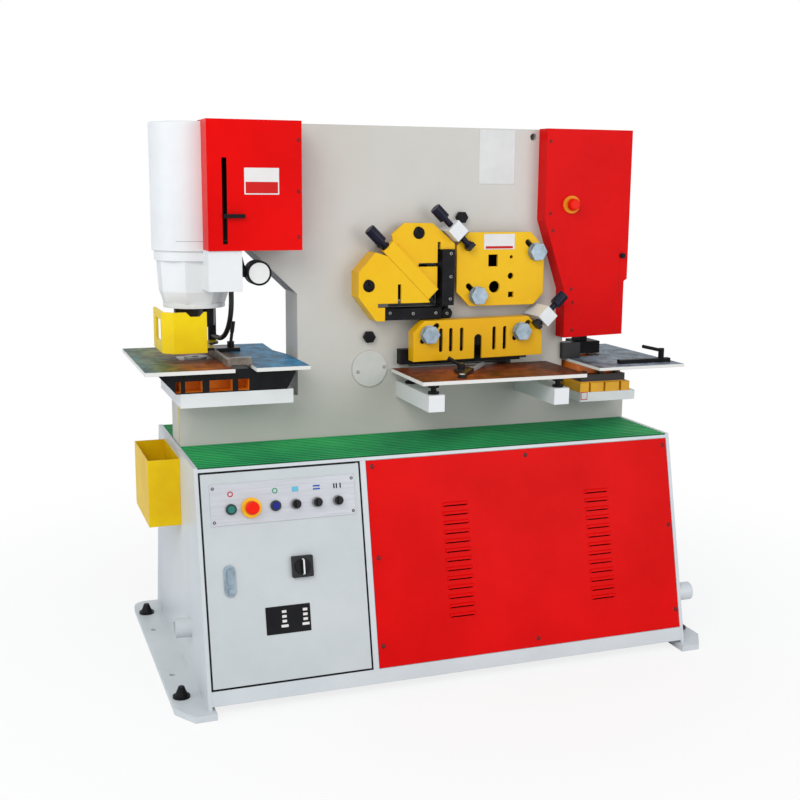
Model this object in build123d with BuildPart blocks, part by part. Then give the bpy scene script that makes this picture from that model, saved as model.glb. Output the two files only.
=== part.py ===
from build123d import *
import math
import os

os.makedirs("parts", exist_ok=True)

# A hydraulic ironworker: a leaning-sided base with a twin-plate frame on it,
# a punch at the left, three shears in the middle and a notcher at the right.
# The origin is the centre of the four anchor holes, on the floor.
# +X runs to the right, +Y to the back and +Z up. All sizes are in millimetres.

# Base
base_half_length = 812.0
base_top_half_depth = 338.0
base_foot_half_depth = 497.0
tread_height = 715.0
side_plate = 12.0
foot_plate = 20.0
foot_reach = 91.0
foot_inner = 22.0
foot_straight_half = 445.0
foot_nose = 24.0
foot_chamfer = 48.0
anchor_x = base_half_length + 58.0
anchor_half_y = 200.0
anchor_hole_r = 9.0
leveller_half_y = 371.0
leveller_r = 10.0
deck_sheet = 10.0
mat_sheet = 2.0
mat_rib = 2.0
mat_rib_width = 9.0
mat_rib_count = 14
beam_bottom = 30.0
door_opening_bottom = 73.0
rail_depth = 40.0
mullion_left = 515.0 - base_half_length
mullion_right = mullion_left + 18.0
partition_sheet = 6.0
sheet = 2.0
panel_sheet = 3.0

# Clearances
running = 0.05
slide_gap = 0.3
seat_gap = 0.3
door_gap = 6.0
stud_gap = 1.5

# Door and controls
door_depth = 25.0
door_pin_r = 3.5
door_axis_inset = 5.0
door_axis_depth = 6.0
door_pin_length = 22.0
door_block = 18.0
control_left = 43.0 - base_half_length
control_right = mullion_left - 23.0
control_low = 543.0
control_high = 664.0
control_sheet = 2.0
button_height = 589.0
button_r = 11.0
bezel_r = 16.0
bezel_height = 8.0
button_travel = 4.0
collar_r = 30.0
collar_height = 10.0
estop_stem_r = 12.0
estop_head_r = 21.0
estop_head_height = 20.0
estop_travel = 5.0
selector_r = 13.0
selector_height = 14.0
grip_width = 7.0
grip_height = 9.0
button_x = {"green": control_left + 61.0, "blue": control_left + 197.0}
estop_door_x = control_left + 122.0
selector_x = {"left": control_left + 260.0, "middle": control_left + 327.0, "right": control_left + 393.0}
switch_x = control_left + 266.0
switch_z = 405.0
switch_side = 65.0
switch_depth = 14.0
latch_x = control_left + 44.0
latch_z = 383.0
latch_width = 34.0
latch_length = 94.0

# Frame
frame_front = -25.0
frame_plate = 40.0
frame_gap = 70.0
frame_left = 15.0 - base_half_length
frame_right = base_half_length + 3.0
head_right = base_half_length - 14.0
frame_top = 1730.0
jaw_height = 860.0
punch_table_top = jaw_height + 128.0
punch_tip = punch_table_top + 52.0
tool_low = punch_tip + 22.0
nut_low = tool_low + 33.0
nut_high = nut_low + 55.0
head_low = nut_high + 5.0
throat_x = -408.0
throat_top = head_low + 37.0
jaw_underside = head_low + 190.0
throat_slope = 1.05
head_left = -600.0
notch_left = 560.0
notch_floor = 803.0
notch_roof = 1045.0
spine_height = notch_floor - 8.0
web_right = -300.0
bridge_bottom = frame_top - 230.0
bridge_right = 450.0
roof_strip = 20.0

# Rocker beam
pivot_x = -161.0
pivot_z = 937.0
pivot_r = 50.0
pivot_plate_r = 61.0
pivot_plate_sheet = 5.0
beam_side_gap = 2.0
beam_right = 745.0
beam_arm_low = 1050.0
beam_arm_high = 1230.0

# Beam cylinder
ram_x = 620.0
beam_barrel_r = 90.0
beam_barrel_low = 1340.0
beam_barrel_high = frame_top - 40.0
beam_bore_r = 62.0
beam_rod_r = 30.0
barrel_cap = 30.0

# Punch station
punch_x = -729.0
barrel_r = 129.0
barrel_low = head_low + 181.0
barrel_high = frame_top - 2.0
barrel_bore_r = 95.0
rod_r = 52.0
piston_height = 60.0
nut_r = 65.0
tool_r = 26.0
punch_tip_r = 11.0
die_clearance = 0.6
die_r = 36.0
box_left = -720.0
box_right = -616.0
box_front = -160.0
box_low = head_low + 62.0
cover_left_x = (-720.0, -427.0)
cover_left_front = -165.0
cover_left_low = jaw_underside - 4.0
cover_top = frame_top + 2.0
slot_x = (-675.0, -660.0)
slot_share = 278.0 / 391.0
slot_z = (cover_left_low + 20.0, cover_left_low + slot_share * (cover_top - cover_left_low))
guard_front = -95.0
guard_left = -851.0
guard_right = -716.0
guard_low = punch_table_top + 43.0
guard_high = guard_low + 119.0
guard_sheet = 8.0
guard_chamfer = 32.0
stripper_sheet = 9.0
stripper_hole_r = 33.0
shelf_sheet = 45.0
punch_shelf_x = (-813.0, -456.0)
notch_shelf_x = (571.0, 787.0)
notch_shelf_sheet = 33.0
table_sheet = 12.0
punch_table_x = (-928.0, -420.0)
punch_table_y = (-226.0, 324.0)

# Shear stations
guard_face_angle = -100.0
guard_face_upper = -70.0
guard_face_section = -70.0
guard_face_flat = -110.0
guard_skin = 10.0
stud_r = 8.0
nut_across = 54.0
nut_height = 18.0
nut_flange_r = 31.0
nut_flange = 6.0
shear_table_top = 936.0
shear_table_x = (-88.0, 490.0)
shear_table_y = (-338.0, -40.0)
arm_x = (-38.0, 403.0)
arm_width = 54.0
arm_top = 891.0
arm_front = -330.0
screw_stem_r = 10.0
screw_head_r = 19.0
screw_head_length = 48.0
screw_foot_r = 14.0
screw_foot_length = 6.0
block_side = 50.0

# Right cover and notcher
cover_right_front = -85.0
cover_sheet = 2.0
notch_table_top = 941.0
notch_table_x = (575.0, 905.0)
notch_table_y = (-272.0, 268.0)
notch_table_sheet = 10.0

# Worked out from the driving sizes
lean = math.atan2(base_foot_half_depth - base_top_half_depth, tread_height - foot_plate)
deck_top = tread_height - mat_sheet - mat_rib
frame_mid = frame_front + frame_plate + frame_gap / 2
gap_front = frame_front + frame_plate
gap_back = gap_front + frame_gap
frame_back = gap_back + frame_plate
inner_length = base_half_length - side_plate
front_plane = Plane(origin=(0, -base_top_half_depth, tread_height), x_dir=(1, 0, 0),
                    z_dir=(0, -math.cos(lean), math.sin(lean)))
rear_plane = Plane(origin=(0, base_top_half_depth, tread_height), x_dir=(-1, 0, 0),
                   z_dir=(0, math.cos(lean), math.sin(lean)))


def slope(height):
    """Distance up the leaning face for a height above the floor."""
    return (height - tread_height) / math.cos(lean)


def base_half_depth(height):
    """Half the depth of the base at a height above the floor."""
    return base_top_half_depth + (tread_height - height) * math.tan(lean)


def block(x, y, z, mode=Mode.ADD):
    """Adds a box given by its low and high X, Y and Z to the part being built."""
    with Locations(((x[0] + x[1]) / 2, (y[0] + y[1]) / 2, (z[0] + z[1]) / 2)):
        Box(x[1] - x[0], y[1] - y[0], z[1] - z[0], mode=mode)


def save(part, name):
    """Labels a finished piece and writes it."""
    part.label = name
    export_step(part, f"parts/{name}.step")


def wall_at(depth):
    """The upright plane at a depth, seen from the front, with X across and Z up."""
    return Plane.XZ.offset(-depth)


def outline(points):
    """A closed face through the points, in the sketch being built."""
    Polygon(*points, align=None)


# Side plates of the base, each with its foot plate and lifting tube
tube_r = 30.0
tube_wall = 6.0
tube_reach = 50.0
tube_z = 178.0
tube_y = {-1: -218.0, 1: -430.0}
foot_corner_r = 50.0

with BuildPart() as base_sides:
    for side in (-1, 1):
        outer = side * base_half_length
        edge = side * (base_half_length + foot_reach)
        inner = side * (base_half_length - foot_inner)
        nose = base_foot_half_depth + foot_nose
        with BuildSketch(Plane.YZ.offset(min(outer, side * inner_length))):
            outline([(-base_foot_half_depth, foot_plate), (base_foot_half_depth, foot_plate),
                     (base_top_half_depth, tread_height), (-base_top_half_depth, tread_height)])
        extrude(amount=side_plate)
        with BuildSketch(Plane.XY) as foot:
            outline([(inner, -nose), (edge - side * foot_chamfer, -nose), (edge, -foot_straight_half),
                     (edge, base_foot_half_depth), (inner, base_foot_half_depth)])
            rear_corner = foot.vertices().group_by(Axis.Y)[-1].sort_by(Axis.X)
            fillet(rear_corner[-1] if side > 0 else rear_corner[0], foot_corner_r)
            with Locations((side * anchor_x, -anchor_half_y), (side * anchor_x, anchor_half_y)):
                Circle(anchor_hole_r, mode=Mode.SUBTRACT)
            with Locations((side * anchor_x, -leveller_half_y), (side * anchor_x, leveller_half_y)):
                Circle(leveller_r + seat_gap, mode=Mode.SUBTRACT)
        extrude(amount=foot_plate)
        with BuildSketch(Plane.YZ.offset(min(outer, outer + side * tube_reach))):
            with Locations((tube_y[side], tube_z)):
                Circle(tube_r)
                Circle(tube_r - tube_wall, mode=Mode.SUBTRACT)
        extrude(amount=tube_reach)
save(base_sides.part, "base_sides")

# Levelling screws: a shank through the foot, a washer and a cone nut
washer_r = 26.0
washer_height = 6.0
cone_low_r = 20.0
cone_high_r = 9.0
cone_height = 28.0
with BuildPart() as levelling_screws:
    with Locations([(x * anchor_x, y * leveller_half_y) for x in (-1, 1) for y in (-1, 1)]):
        Cylinder(leveller_r, foot_plate, align=(Align.CENTER, Align.CENTER, Align.MIN))
    with Locations([(x * anchor_x, y * leveller_half_y, foot_plate) for x in (-1, 1) for y in (-1, 1)]):
        Cylinder(washer_r, washer_height, align=(Align.CENTER, Align.CENTER, Align.MIN))
    top_of_washer = foot_plate + washer_height
    with Locations([(x * anchor_x, y * leveller_half_y, top_of_washer) for x in (-1, 1) for y in (-1, 1)]):
        Cone(cone_low_r, cone_high_r, cone_height, align=(Align.CENTER, Align.CENTER, Align.MIN))
save(levelling_screws.part, "levelling_screws")

# Deck: a plate between the side plates with two ribs under the frame, and the door's upper pin
rib_height = 60.0
rib_end = 20.0
door_left = -inner_length + door_gap
door_right = mullion_left - door_gap
deck_bottom = deck_top - deck_sheet
door_low = slope(door_opening_bottom) + door_gap
door_high = slope(deck_bottom) - door_gap
door_axis_x = door_right - door_axis_inset


def door_axis_plane(height_on_slope):
    """A plane across the door's turning axis, at a height along the leaning face."""
    start = front_plane.from_local_coords((door_axis_x, height_on_slope, -door_axis_depth))
    return Plane(origin=start, x_dir=(1, 0, 0), z_dir=front_plane.y_dir)


with BuildPart() as base_deck:
    with BuildSketch(Plane.YZ.offset(-inner_length)):
        outline([(-base_half_depth(deck_bottom), deck_bottom), (base_half_depth(deck_bottom), deck_bottom),
                 (base_half_depth(deck_top), deck_top), (-base_half_depth(deck_top), deck_top)])
    extrude(amount=2 * inner_length)
    for rib_front in (frame_front, gap_back):
        block((-inner_length + rib_end, inner_length - rib_end), (rib_front, rib_front + frame_plate),
              (deck_bottom - rib_height, deck_bottom))
    with BuildSketch(door_axis_plane(door_high - door_pin_length + door_gap)):
        Circle(door_pin_r)
    extrude(amount=door_pin_length + door_pin_r)
save(base_deck.part, "base_deck")

# Rails: bottom beams, mullions, panel seats, door stop, partition and floor sheet, all welded
seat_width = 24.0
seat_sheet = 6.0
stop_width = 18.0
stop_gap = 2.0
rail_setback = 20.0
floor_sheet = 4.0
rib_room = 6.0
notch_margin = 12.0


with BuildPart() as base_rails:
    low = slope(door_opening_bottom)
    high = slope(deck_bottom)
    for plane, turn in ((front_plane, 1), (rear_plane, -1)):
        mullion = sorted((turn * mullion_left, turn * mullion_right))
        with BuildSketch(plane):
            with Locations((0, (slope(beam_bottom) + low) / 2)):
                Rectangle(2 * inner_length, low - slope(beam_bottom))
            with Locations(((mullion[0] + mullion[1]) / 2, (low + high) / 2)):
                Rectangle(mullion[1] - mullion[0], high - low)
        extrude(amount=-rail_depth)
        wide = sorted((turn * mullion_right, turn * inner_length))
        narrow = sorted((turn * mullion_left, -turn * inner_length))
        edges = ((wide, seat_width, panel_sheet),
                 (narrow, stop_width, door_depth + stop_gap) if turn > 0
                 else (narrow, seat_width, panel_sheet))
        for (left, right), width, behind in edges:
            with BuildSketch(plane.offset(-behind)):
                with Locations(((left + right) / 2, (low + high) / 2)):
                    Rectangle(right - left, high - low)
                    Rectangle(right - left - 2 * width, high - low - 2 * width, mode=Mode.SUBTRACT)
            extrude(amount=-seat_sheet)
    partition_x = (mullion_left + mullion_right) / 2
    rib_low = deck_bottom - rib_height - rib_room
    with BuildSketch(Plane.YZ.offset(partition_x - partition_sheet / 2)):
        bottom = base_half_depth(beam_bottom) - rail_setback
        top = base_half_depth(deck_bottom) - rail_setback
        outline([(-bottom, beam_bottom), (bottom, beam_bottom), (top, deck_bottom),
                 (frame_back + notch_margin, deck_bottom), (frame_back + notch_margin, rib_low),
                 (frame_front - notch_margin, rib_low), (frame_front - notch_margin, deck_bottom),
                 (-top, deck_bottom)])
    extrude(amount=partition_sheet)
    floor_half = base_half_depth(beam_bottom) - rail_setback
    block((-inner_length, inner_length), (-floor_half, floor_half), (beam_bottom, beam_bottom + floor_sheet))
    with BuildSketch(door_axis_plane(low - 1)):
        Circle(door_pin_r)
    extrude(amount=door_pin_length + 1)
save(base_rails.part, "base_rails")

# Tread mats: ribbed rubber in front of the frame and behind it
mat_edge = 1.0
with BuildPart() as tread_mats:
    pitch = (base_top_half_depth + frame_front - 2 * mat_edge) / mat_rib_count
    half_length = inner_length - mat_edge
    for near, far in ((-base_top_half_depth, frame_front - mat_edge),
                      (frame_back + mat_edge, base_top_half_depth)):
        block((-half_length, half_length), (near, far), (deck_top, deck_top + mat_sheet))
        count = int((far - near) / pitch)
        with Locations((0, (near + far) / 2, deck_top + mat_sheet)):
            with GridLocations(0, pitch, 1, count):
                Box(2 * half_length, mat_rib_width, mat_rib, align=(Align.CENTER, Align.CENTER, Align.MIN))
save(tread_mats.part, "tread_mats")

# Panels of the base: two louvred ones, front and rear, and the plain cabinet back
panel_margin = 1.5
louvre_length = 90.0
louvre_width = 14.0
louvre_rise = 4.0
louvre_rows = 13
louvre_pitch = 29.2
louvre_low = 205.0
louvre_x = (10.0, 516.0)
slit_length = 78.0
slit_width = 4.0
with BuildPart() as base_panels:
    for plane, turn in ((front_plane, 1), (rear_plane, -1)):
        wide = sorted((turn * mullion_right, turn * inner_length))
        panel_low = slope(door_opening_bottom) + panel_margin
        panel_high = slope(deck_bottom) - panel_margin
        with BuildSketch(plane):
            with Locations(((wide[0] + wide[1]) / 2, (panel_low + panel_high) / 2)):
                Rectangle(wide[1] - wide[0] - 2 * panel_margin, panel_high - panel_low)
        extrude(amount=-panel_sheet)
        middle = slope(louvre_low) + louvre_pitch * (louvre_rows - 1) / 2
        for centre in louvre_x:
            with BuildSketch(plane):
                with Locations((turn * centre, middle)):
                    with GridLocations(0, louvre_pitch, 1, louvre_rows):
                        Rectangle(louvre_length, louvre_width)
            extrude(amount=louvre_rise, taper=35)
            with BuildSketch(plane.offset(louvre_rise)):
                with Locations((turn * centre, middle - louvre_width / 2 + slit_width / 2)):
                    with GridLocations(0, louvre_pitch, 1, louvre_rows):
                        Rectangle(slit_length, slit_width)
            extrude(amount=-louvre_rise - panel_sheet, mode=Mode.SUBTRACT)
    cabinet = sorted((-mullion_left, inner_length))
    with BuildSketch(rear_plane):
        with Locations(((cabinet[0] + cabinet[1]) / 2, (panel_low + panel_high) / 2)):
            Rectangle(cabinet[1] - cabinet[0] - 2 * panel_margin, panel_high - panel_low)
    extrude(amount=-panel_sheet)
save(base_panels.part, "base_panels")

# Tray hung on the left side plate
tray_depth = 100.0
tray_y = (-95.0, 210.0)
tray_z = (475.0, 690.0)
with BuildPart() as side_tray:
    block((-base_half_length - tray_depth, -base_half_length), tray_y, tray_z)
    block((-base_half_length - tray_depth + sheet, -base_half_length - sheet),
          (tray_y[0] + sheet, tray_y[1] - sheet), (tray_z[0] + sheet, tray_z[1]), mode=Mode.SUBTRACT)
save(side_tray.part, "side_tray")

# Power unit: oil tank with motor, pump and valve block on its lid
tank_x = (mullion_right + 99.0, mullion_right + 799.0)
tank_y = (-160.0, 260.0)
tank_height = 260.0
motor_r = 95.0
motor_length = 300.0
motor_x = tank_x[0] + 240.0
pump_r = 50.0
pump_length = 130.0
valve_side = 110.0
with BuildPart() as power_unit:
    tank_low = beam_bottom + floor_sheet
    tank_high = tank_low + tank_height
    block(tank_x, tank_y, (tank_low, tank_high))
    motor_y = (tank_y[0] + tank_y[1]) / 2
    with BuildSketch(Plane.YZ.offset(motor_x - motor_length / 2)):
        with Locations((motor_y, tank_high + motor_r)):
            Circle(motor_r)
            with Locations((0, -motor_r / 2)):
                Rectangle(motor_r * 1.4, motor_r)
    extrude(amount=motor_length)
    with BuildSketch(Plane.YZ.offset(motor_x + motor_length / 2)):
        with Locations((motor_y, tank_high + motor_r)):
            Circle(pump_r)
    extrude(amount=pump_length)
    block((tank_x[1] - 2 * valve_side, tank_x[1] - valve_side / 2),
          (tank_y[0] + valve_side, tank_y[0] + 2 * valve_side), (tank_high, tank_high + valve_side))
save(power_unit.part, "power_unit")

# Electrical board in the cabinet, with its row of contactors and fuses
board_y = -150.0
board_sheet = 4.0
board_foot = 40.0
board_top = 600.0
board_left = 32.0 - base_half_length
contactor = (45.0, 70.0, 80.0)
contactor_rows = (260.0, 400.0, 520.0)
with BuildPart() as electrical_board:
    board_right = partition_x - partition_sheet / 2
    block((board_left, board_right), (board_y, board_y + board_sheet), (tank_low, board_top))
    block((board_left, board_right), (board_y, board_y + board_foot), (tank_low, tank_low + board_sheet))
    for height in contactor_rows:
        with Locations(((board_left + board_right) / 2, board_y - contactor[1] / 2, height)):
            with GridLocations(contactor[0] + 12, 0, 7, 1):
                Box(*contactor)
save(electrical_board.part, "electrical_board")

# Cabinet door: a folded tray inset in its opening, turning on two pins at the right
switch_slope = slope(switch_z)
latch_slope = slope(latch_z)
latch_bore_r = 7.0
with BuildPart() as cabinet_door:
    door_middle = ((door_left + door_right) / 2, (door_low + door_high) / 2)
    with BuildSketch(front_plane):
        with Locations(door_middle):
            Rectangle(door_right - door_left, door_high - door_low)
    extrude(amount=-door_depth)
    with BuildSketch(front_plane.offset(-sheet)):
        with Locations(door_middle):
            Rectangle(door_right - door_left - 2 * sheet, door_high - door_low - 2 * sheet)
    extrude(amount=-door_depth + sheet, mode=Mode.SUBTRACT)
    block_height = door_pin_length + 2
    with BuildSketch(front_plane):
        for end in (door_low + block_height / 2, door_high - block_height / 2):
            with Locations((door_right - door_block / 2, end)):
                Rectangle(door_block, block_height)
    extrude(amount=-door_block)
    for end in (door_low, door_high - block_height):
        start = front_plane.from_local_coords((door_axis_x, end, -door_axis_depth))
        with BuildSketch(Plane(origin=start, x_dir=(1, 0, 0), z_dir=front_plane.y_dir)):
            Circle(door_pin_r + running)
        extrude(amount=block_height, mode=Mode.SUBTRACT)
    with BuildSketch(front_plane):
        with Locations((latch_x, latch_slope)):
            Circle(latch_bore_r + running)
    extrude(amount=-sheet, mode=Mode.SUBTRACT)
save(cabinet_door.part, "cabinet_door")

# Control plate on the door, with the bezels of the buttons and the base of the main switch
switch_disc_r = 24.0
switch_stem_r = 8.0
with BuildPart() as control_plate:
    control_middle = ((control_left + control_right) / 2, (slope(control_low) + slope(control_high)) / 2)
    with BuildSketch(front_plane):
        with Locations(control_middle):
            Rectangle(control_right - control_left, slope(control_high) - slope(control_low))
    extrude(amount=control_sheet)
    row = slope(button_height)
    with BuildSketch(front_plane.offset(control_sheet)):
        for x in list(button_x.values()) + list(selector_x.values()):
            with Locations((x, row)):
                Circle(bezel_r)
                Circle(button_r + slide_gap, mode=Mode.SUBTRACT)
    extrude(amount=bezel_height)
    with BuildSketch(front_plane.offset(control_sheet)):
        with Locations((estop_door_x, row)):
            Circle(collar_r)
            Circle(estop_stem_r + slide_gap, mode=Mode.SUBTRACT)
    extrude(amount=collar_height)
    with BuildSketch(front_plane):
        with Locations((switch_x, switch_slope)):
            RectangleRounded(switch_side, switch_side, 4)
    extrude(amount=switch_depth)
    with BuildSketch(front_plane.offset(switch_depth)):
        with Locations((switch_x, switch_slope)):
            Circle(switch_stem_r + running)
    extrude(amount=-switch_depth + sheet, mode=Mode.SUBTRACT)
save(control_plate.part, "control_plate")


def push_button(x, name):
    """A round push button cap inside its bezel."""
    with BuildPart() as button:
        with BuildSketch(front_plane.offset(control_sheet + button_travel + 1)):
            with Locations((x, row)):
                Circle(button_r)
        extrude(amount=bezel_height - 2)
        rounds = button.edges().filter_by(GeomType.CIRCLE)
        fillet(rounds.sort_by(lambda e: front_plane.to_local_coords(e.center()).Z)[-1], 1.5)
    save(button.part, name)


push_button(button_x["green"], "green_button")
push_button(button_x["blue"], "blue_button")


def estop_head(plane, x, height, name):
    """A mushroom head on its stem, standing off the collar by its travel."""
    with BuildPart() as head:
        with BuildSketch(plane.offset(estop_travel + 1)):
            with Locations((x, height)):
                Circle(estop_stem_r)
        extrude(amount=collar_height + 1)
        with BuildSketch(plane.offset(collar_height + estop_travel + 1)):
            with Locations((x, height)):
                Circle(estop_head_r)
        extrude(amount=estop_head_height, taper=8)
        rounds = head.edges().filter_by(GeomType.CIRCLE)
        fillet(rounds.sort_by(lambda e: plane.to_local_coords(e.center()).Z)[-1], 5)
    save(head.part, name)


estop_head(front_plane.offset(control_sheet), estop_door_x, row, "door_stop_button")


def selector(x, name):
    """A selector knob with a raised grip, turning in its bezel."""
    with BuildPart() as knob:
        with BuildSketch(front_plane.offset(control_sheet + 1)):
            with Locations((x, row)):
                Circle(button_r)
        extrude(amount=bezel_height)
        with BuildSketch(front_plane.offset(control_sheet + bezel_height + slide_gap)):
            with Locations((x, row)):
                Circle(selector_r)
        extrude(amount=selector_height / 2)
        with BuildSketch(front_plane.offset(control_sheet + bezel_height + selector_height / 2)):
            with Locations((x, row)):
                Rectangle(grip_width, 2 * selector_r - 3)
        extrude(amount=grip_height)
    save(knob.part, name)


for place, x in selector_x.items():
    selector(x, f"{place}_selector")

# Main switch handle
handle_width = 9.0
handle_length = 44.0
handle_height = 12.0
with BuildPart() as switch_handle:
    with BuildSketch(front_plane.offset(sheet + 1)):
        with Locations((switch_x, switch_slope)):
            Circle(switch_stem_r)
    extrude(amount=switch_depth)
    with BuildSketch(front_plane.offset(switch_depth + slide_gap)):
        with Locations((switch_x, switch_slope)):
            Circle(switch_disc_r)
    extrude(amount=5)
    with BuildSketch(front_plane.offset(switch_depth + 4)):
        with Locations((switch_x, switch_slope)):
            RectangleRounded(handle_width, handle_length, 4)
    extrude(amount=handle_height)
save(switch_handle.part, "main_switch_handle")

# Door latch: an oval rose with a grip that turns on the upper spindle
rose_sheet = 5.0
grip_length = 46.0
with BuildPart() as door_latch:
    with BuildSketch(front_plane.offset(slide_gap)):
        with Locations((latch_x, latch_slope)):
            SlotOverall(latch_length, latch_width, rotation=90)
    extrude(amount=rose_sheet)
    with BuildSketch(front_plane.offset(rose_sheet)):
        with Locations((latch_x, latch_slope + 12)):
            SlotOverall(grip_length, 17, rotation=90)
        with Locations((latch_x, latch_slope - 30)):
            Circle(8)
    extrude(amount=8)
    with BuildSketch(front_plane.offset(1)):
        with Locations((latch_x, latch_slope)):
            Circle(latch_bore_r)
    extrude(amount=-door_depth + 6)
save(door_latch.part, "door_latch")

# Frame: two thick plates of one outline; the rear one carries the fillers welded between them
pass_angle = (-60.0, 70.0, 1150.0, 1290.0)
pass_section = (220.0, 350.0, 1160.0, 1330.0)
pass_flat = (-20.0, 360.0, 930.0, 990.0)
cylinder_room = 5.0
cylinder_window_top = frame_top - 25.0
lifting_hole = (425.0, frame_top - 25.0)
lifting_hole_r = 12.0
section_block = (120.0, 1394.0)
section_screw_y = -84.0
flat_block = (438.0, 1107.0)
flat_screw_y = -124.0
block_cover = 25.0
block_x = math.sqrt(0.5)
front_outline = [(frame_left, deck_top), (inner_length, deck_top), (inner_length, tread_height),
                 (frame_right, tread_height), (frame_right, notch_floor),
                 (notch_left, notch_floor), (notch_left, notch_roof), (head_right, notch_roof),
                 (head_right, frame_top), (head_left, frame_top), (head_left, jaw_underside),
                 (throat_x + throat_slope * (throat_top - jaw_underside), jaw_underside),
                 (throat_x, throat_top), (throat_x, jaw_height), (frame_left, jaw_height)]


def centred(x_low, x_high, z_low, z_high):
    """Adds a rectangle by its edges to the sketch being built."""
    with Locations(((x_low + x_high) / 2, (z_low + z_high) / 2)):
        Rectangle(x_high - x_low, z_high - z_low, mode=Mode.SUBTRACT)


def frame_sheet():
    """Draws one frame plate with its passages, in the sketch being built."""
    outline(front_outline)
    for passage in (pass_angle, pass_section, pass_flat):
        centred(*passage)
    centred(ram_x - beam_barrel_r - cylinder_room, ram_x + beam_barrel_r + cylinder_room,
            beam_barrel_low - 2 * cylinder_room, cylinder_window_top)
    with Locations(lifting_hole):
        Circle(lifting_hole_r, mode=Mode.SUBTRACT)
    with Locations((pivot_x, pivot_z)):
        Circle(pivot_r + running, mode=Mode.SUBTRACT)


def toward(point, distance):
    """The point a distance down to the right of a point, on the 45 degree line."""
    return (point[0] + distance * block_x, point[1] - distance * block_x)


def slant_plane(point, depth, direction):
    """A plane across a slanted axis in the front view; direction is (x, z)."""
    return Plane(origin=(point[0], depth, point[1]), x_dir=(0, 1, 0), z_dir=(direction[0], 0, direction[1]))


down_right = (block_x, -block_x)
down_left = (-block_x, -block_x)
with BuildPart() as frame_front_plate:
    with BuildSketch(wall_at(frame_front + frame_plate)):
        frame_sheet()
    extrude(amount=frame_plate)
save(frame_front_plate.part, "frame_front_plate")

with BuildPart() as frame_rear_plate:
    with BuildSketch(wall_at(frame_back)):
        frame_sheet()
    extrude(amount=frame_plate)
    for left, right, low, high in ((web_right, head_right, deck_top, spine_height),
                                   (frame_left, web_right, deck_top, jaw_height),
                                   (throat_x, web_right, jaw_height, throat_top),
                                   (head_left, web_right, jaw_underside, frame_top),
                                   (web_right, bridge_right, bridge_bottom, frame_top),
                                   (bridge_right, head_right, frame_top - roof_strip, frame_top)):
        block((left, right), (gap_front, gap_back), (low, high))
    with BuildSketch(wall_at(gap_back)):
        outline([(web_right, throat_top), (throat_x, throat_top),
                 (throat_x + throat_slope * (throat_top - jaw_underside), jaw_underside),
                 (web_right, jaw_underside)])
    extrude(amount=frame_gap)
    with BuildSketch(wall_at(gap_back)):
        with Locations(lifting_hole):
            Circle(lifting_hole_r)
    extrude(amount=frame_gap, mode=Mode.SUBTRACT)
save(frame_rear_plate.part, "frame_rear_plate")

# Brackets welded to the frame: two jaw shelves, two table arms and two screw blocks
shelf_y = (-150.0, 250.0)
slug_r = 20.0
with BuildPart() as frame_brackets:
    block(punch_shelf_x, shelf_y, (jaw_height, jaw_height + shelf_sheet))
    block(notch_shelf_x, shelf_y, (notch_floor, notch_floor + notch_shelf_sheet))
    with Locations((punch_x, frame_mid, jaw_height)):
        Cylinder(slug_r, shelf_sheet, align=(Align.CENTER, Align.CENTER, Align.MIN), mode=Mode.SUBTRACT)
    for x in arm_x:
        block((x - arm_width / 2, x + arm_width / 2), (arm_front, frame_front),
              (arm_top - arm_width, arm_top))
    for centre, middle in ((section_block, section_screw_y), (flat_block, flat_screw_y)):
        with BuildSketch(wall_at(frame_front)):
            with Locations(centre):
                Rectangle(block_side, block_side, rotation=45)
        extrude(amount=frame_front - middle + block_cover)
    with BuildSketch(slant_plane(toward(section_block, -block_side), section_screw_y, down_right)):
        Circle(screw_stem_r + running)
    extrude(amount=2 * block_side, mode=Mode.SUBTRACT)
    with BuildSketch(slant_plane((flat_block[0] + block_side * block_x, flat_block[1] + block_side * block_x),
                                 flat_screw_y, down_left)):
        Circle(screw_stem_r + running)
    extrude(amount=2 * block_side, mode=Mode.SUBTRACT)
save(frame_brackets.part, "frame_brackets")

# Pivot pin with a retaining plate at each end
with BuildPart() as pivot_pin:
    with BuildSketch(wall_at(frame_back)):
        with Locations((pivot_x, pivot_z)):
            Circle(pivot_r)
    extrude(amount=frame_back - frame_front)
    with BuildSketch(wall_at(frame_front)):
        with Locations((pivot_x, pivot_z)):
            Circle(pivot_plate_r)
    extrude(amount=pivot_plate_sheet)
    with BuildSketch(wall_at(frame_back + pivot_plate_sheet)):
        with Locations((pivot_x, pivot_z)):
            Circle(pivot_plate_r)
    extrude(amount=pivot_plate_sheet)
save(pivot_pin.part, "pivot_pin")

# Rocker beam between the plates
beam_shoulder_x = 470.0
with BuildPart() as rocker_beam:
    with BuildSketch(wall_at(gap_back - beam_side_gap)):
        outline([(-255, 880), (-90, 880), (-60, 965), (400, 965), (beam_shoulder_x, beam_arm_low),
                 (beam_right, beam_arm_low), (beam_right, beam_arm_high), (beam_shoulder_x, beam_arm_high),
                 (380, 1390), (-60, 1390), (-150, beam_arm_high), (-255, 1000)])
        centred(*pass_angle)
        centred(*pass_section)
        with Locations((pivot_x, pivot_z)):
            Circle(pivot_r + running, mode=Mode.SUBTRACT)
    extrude(amount=frame_gap - 2 * beam_side_gap)
save(rocker_beam.part, "rocker_beam")

# Notching punch under the beam's arm
notch_punch_x = (640.0, 725.0)
notch_punch_y = (0.0, 100.0)
notch_punch_z = (950.0, 993.0)
notch_stem_x = (655.0, 682.0)
with BuildPart() as notch_punch:
    block(notch_punch_x, notch_punch_y, notch_punch_z)
    block(notch_stem_x, (gap_front + beam_side_gap, gap_back - beam_side_gap),
          (notch_punch_z[1], beam_arm_low))
save(notch_punch.part, "notch_punch")

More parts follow.
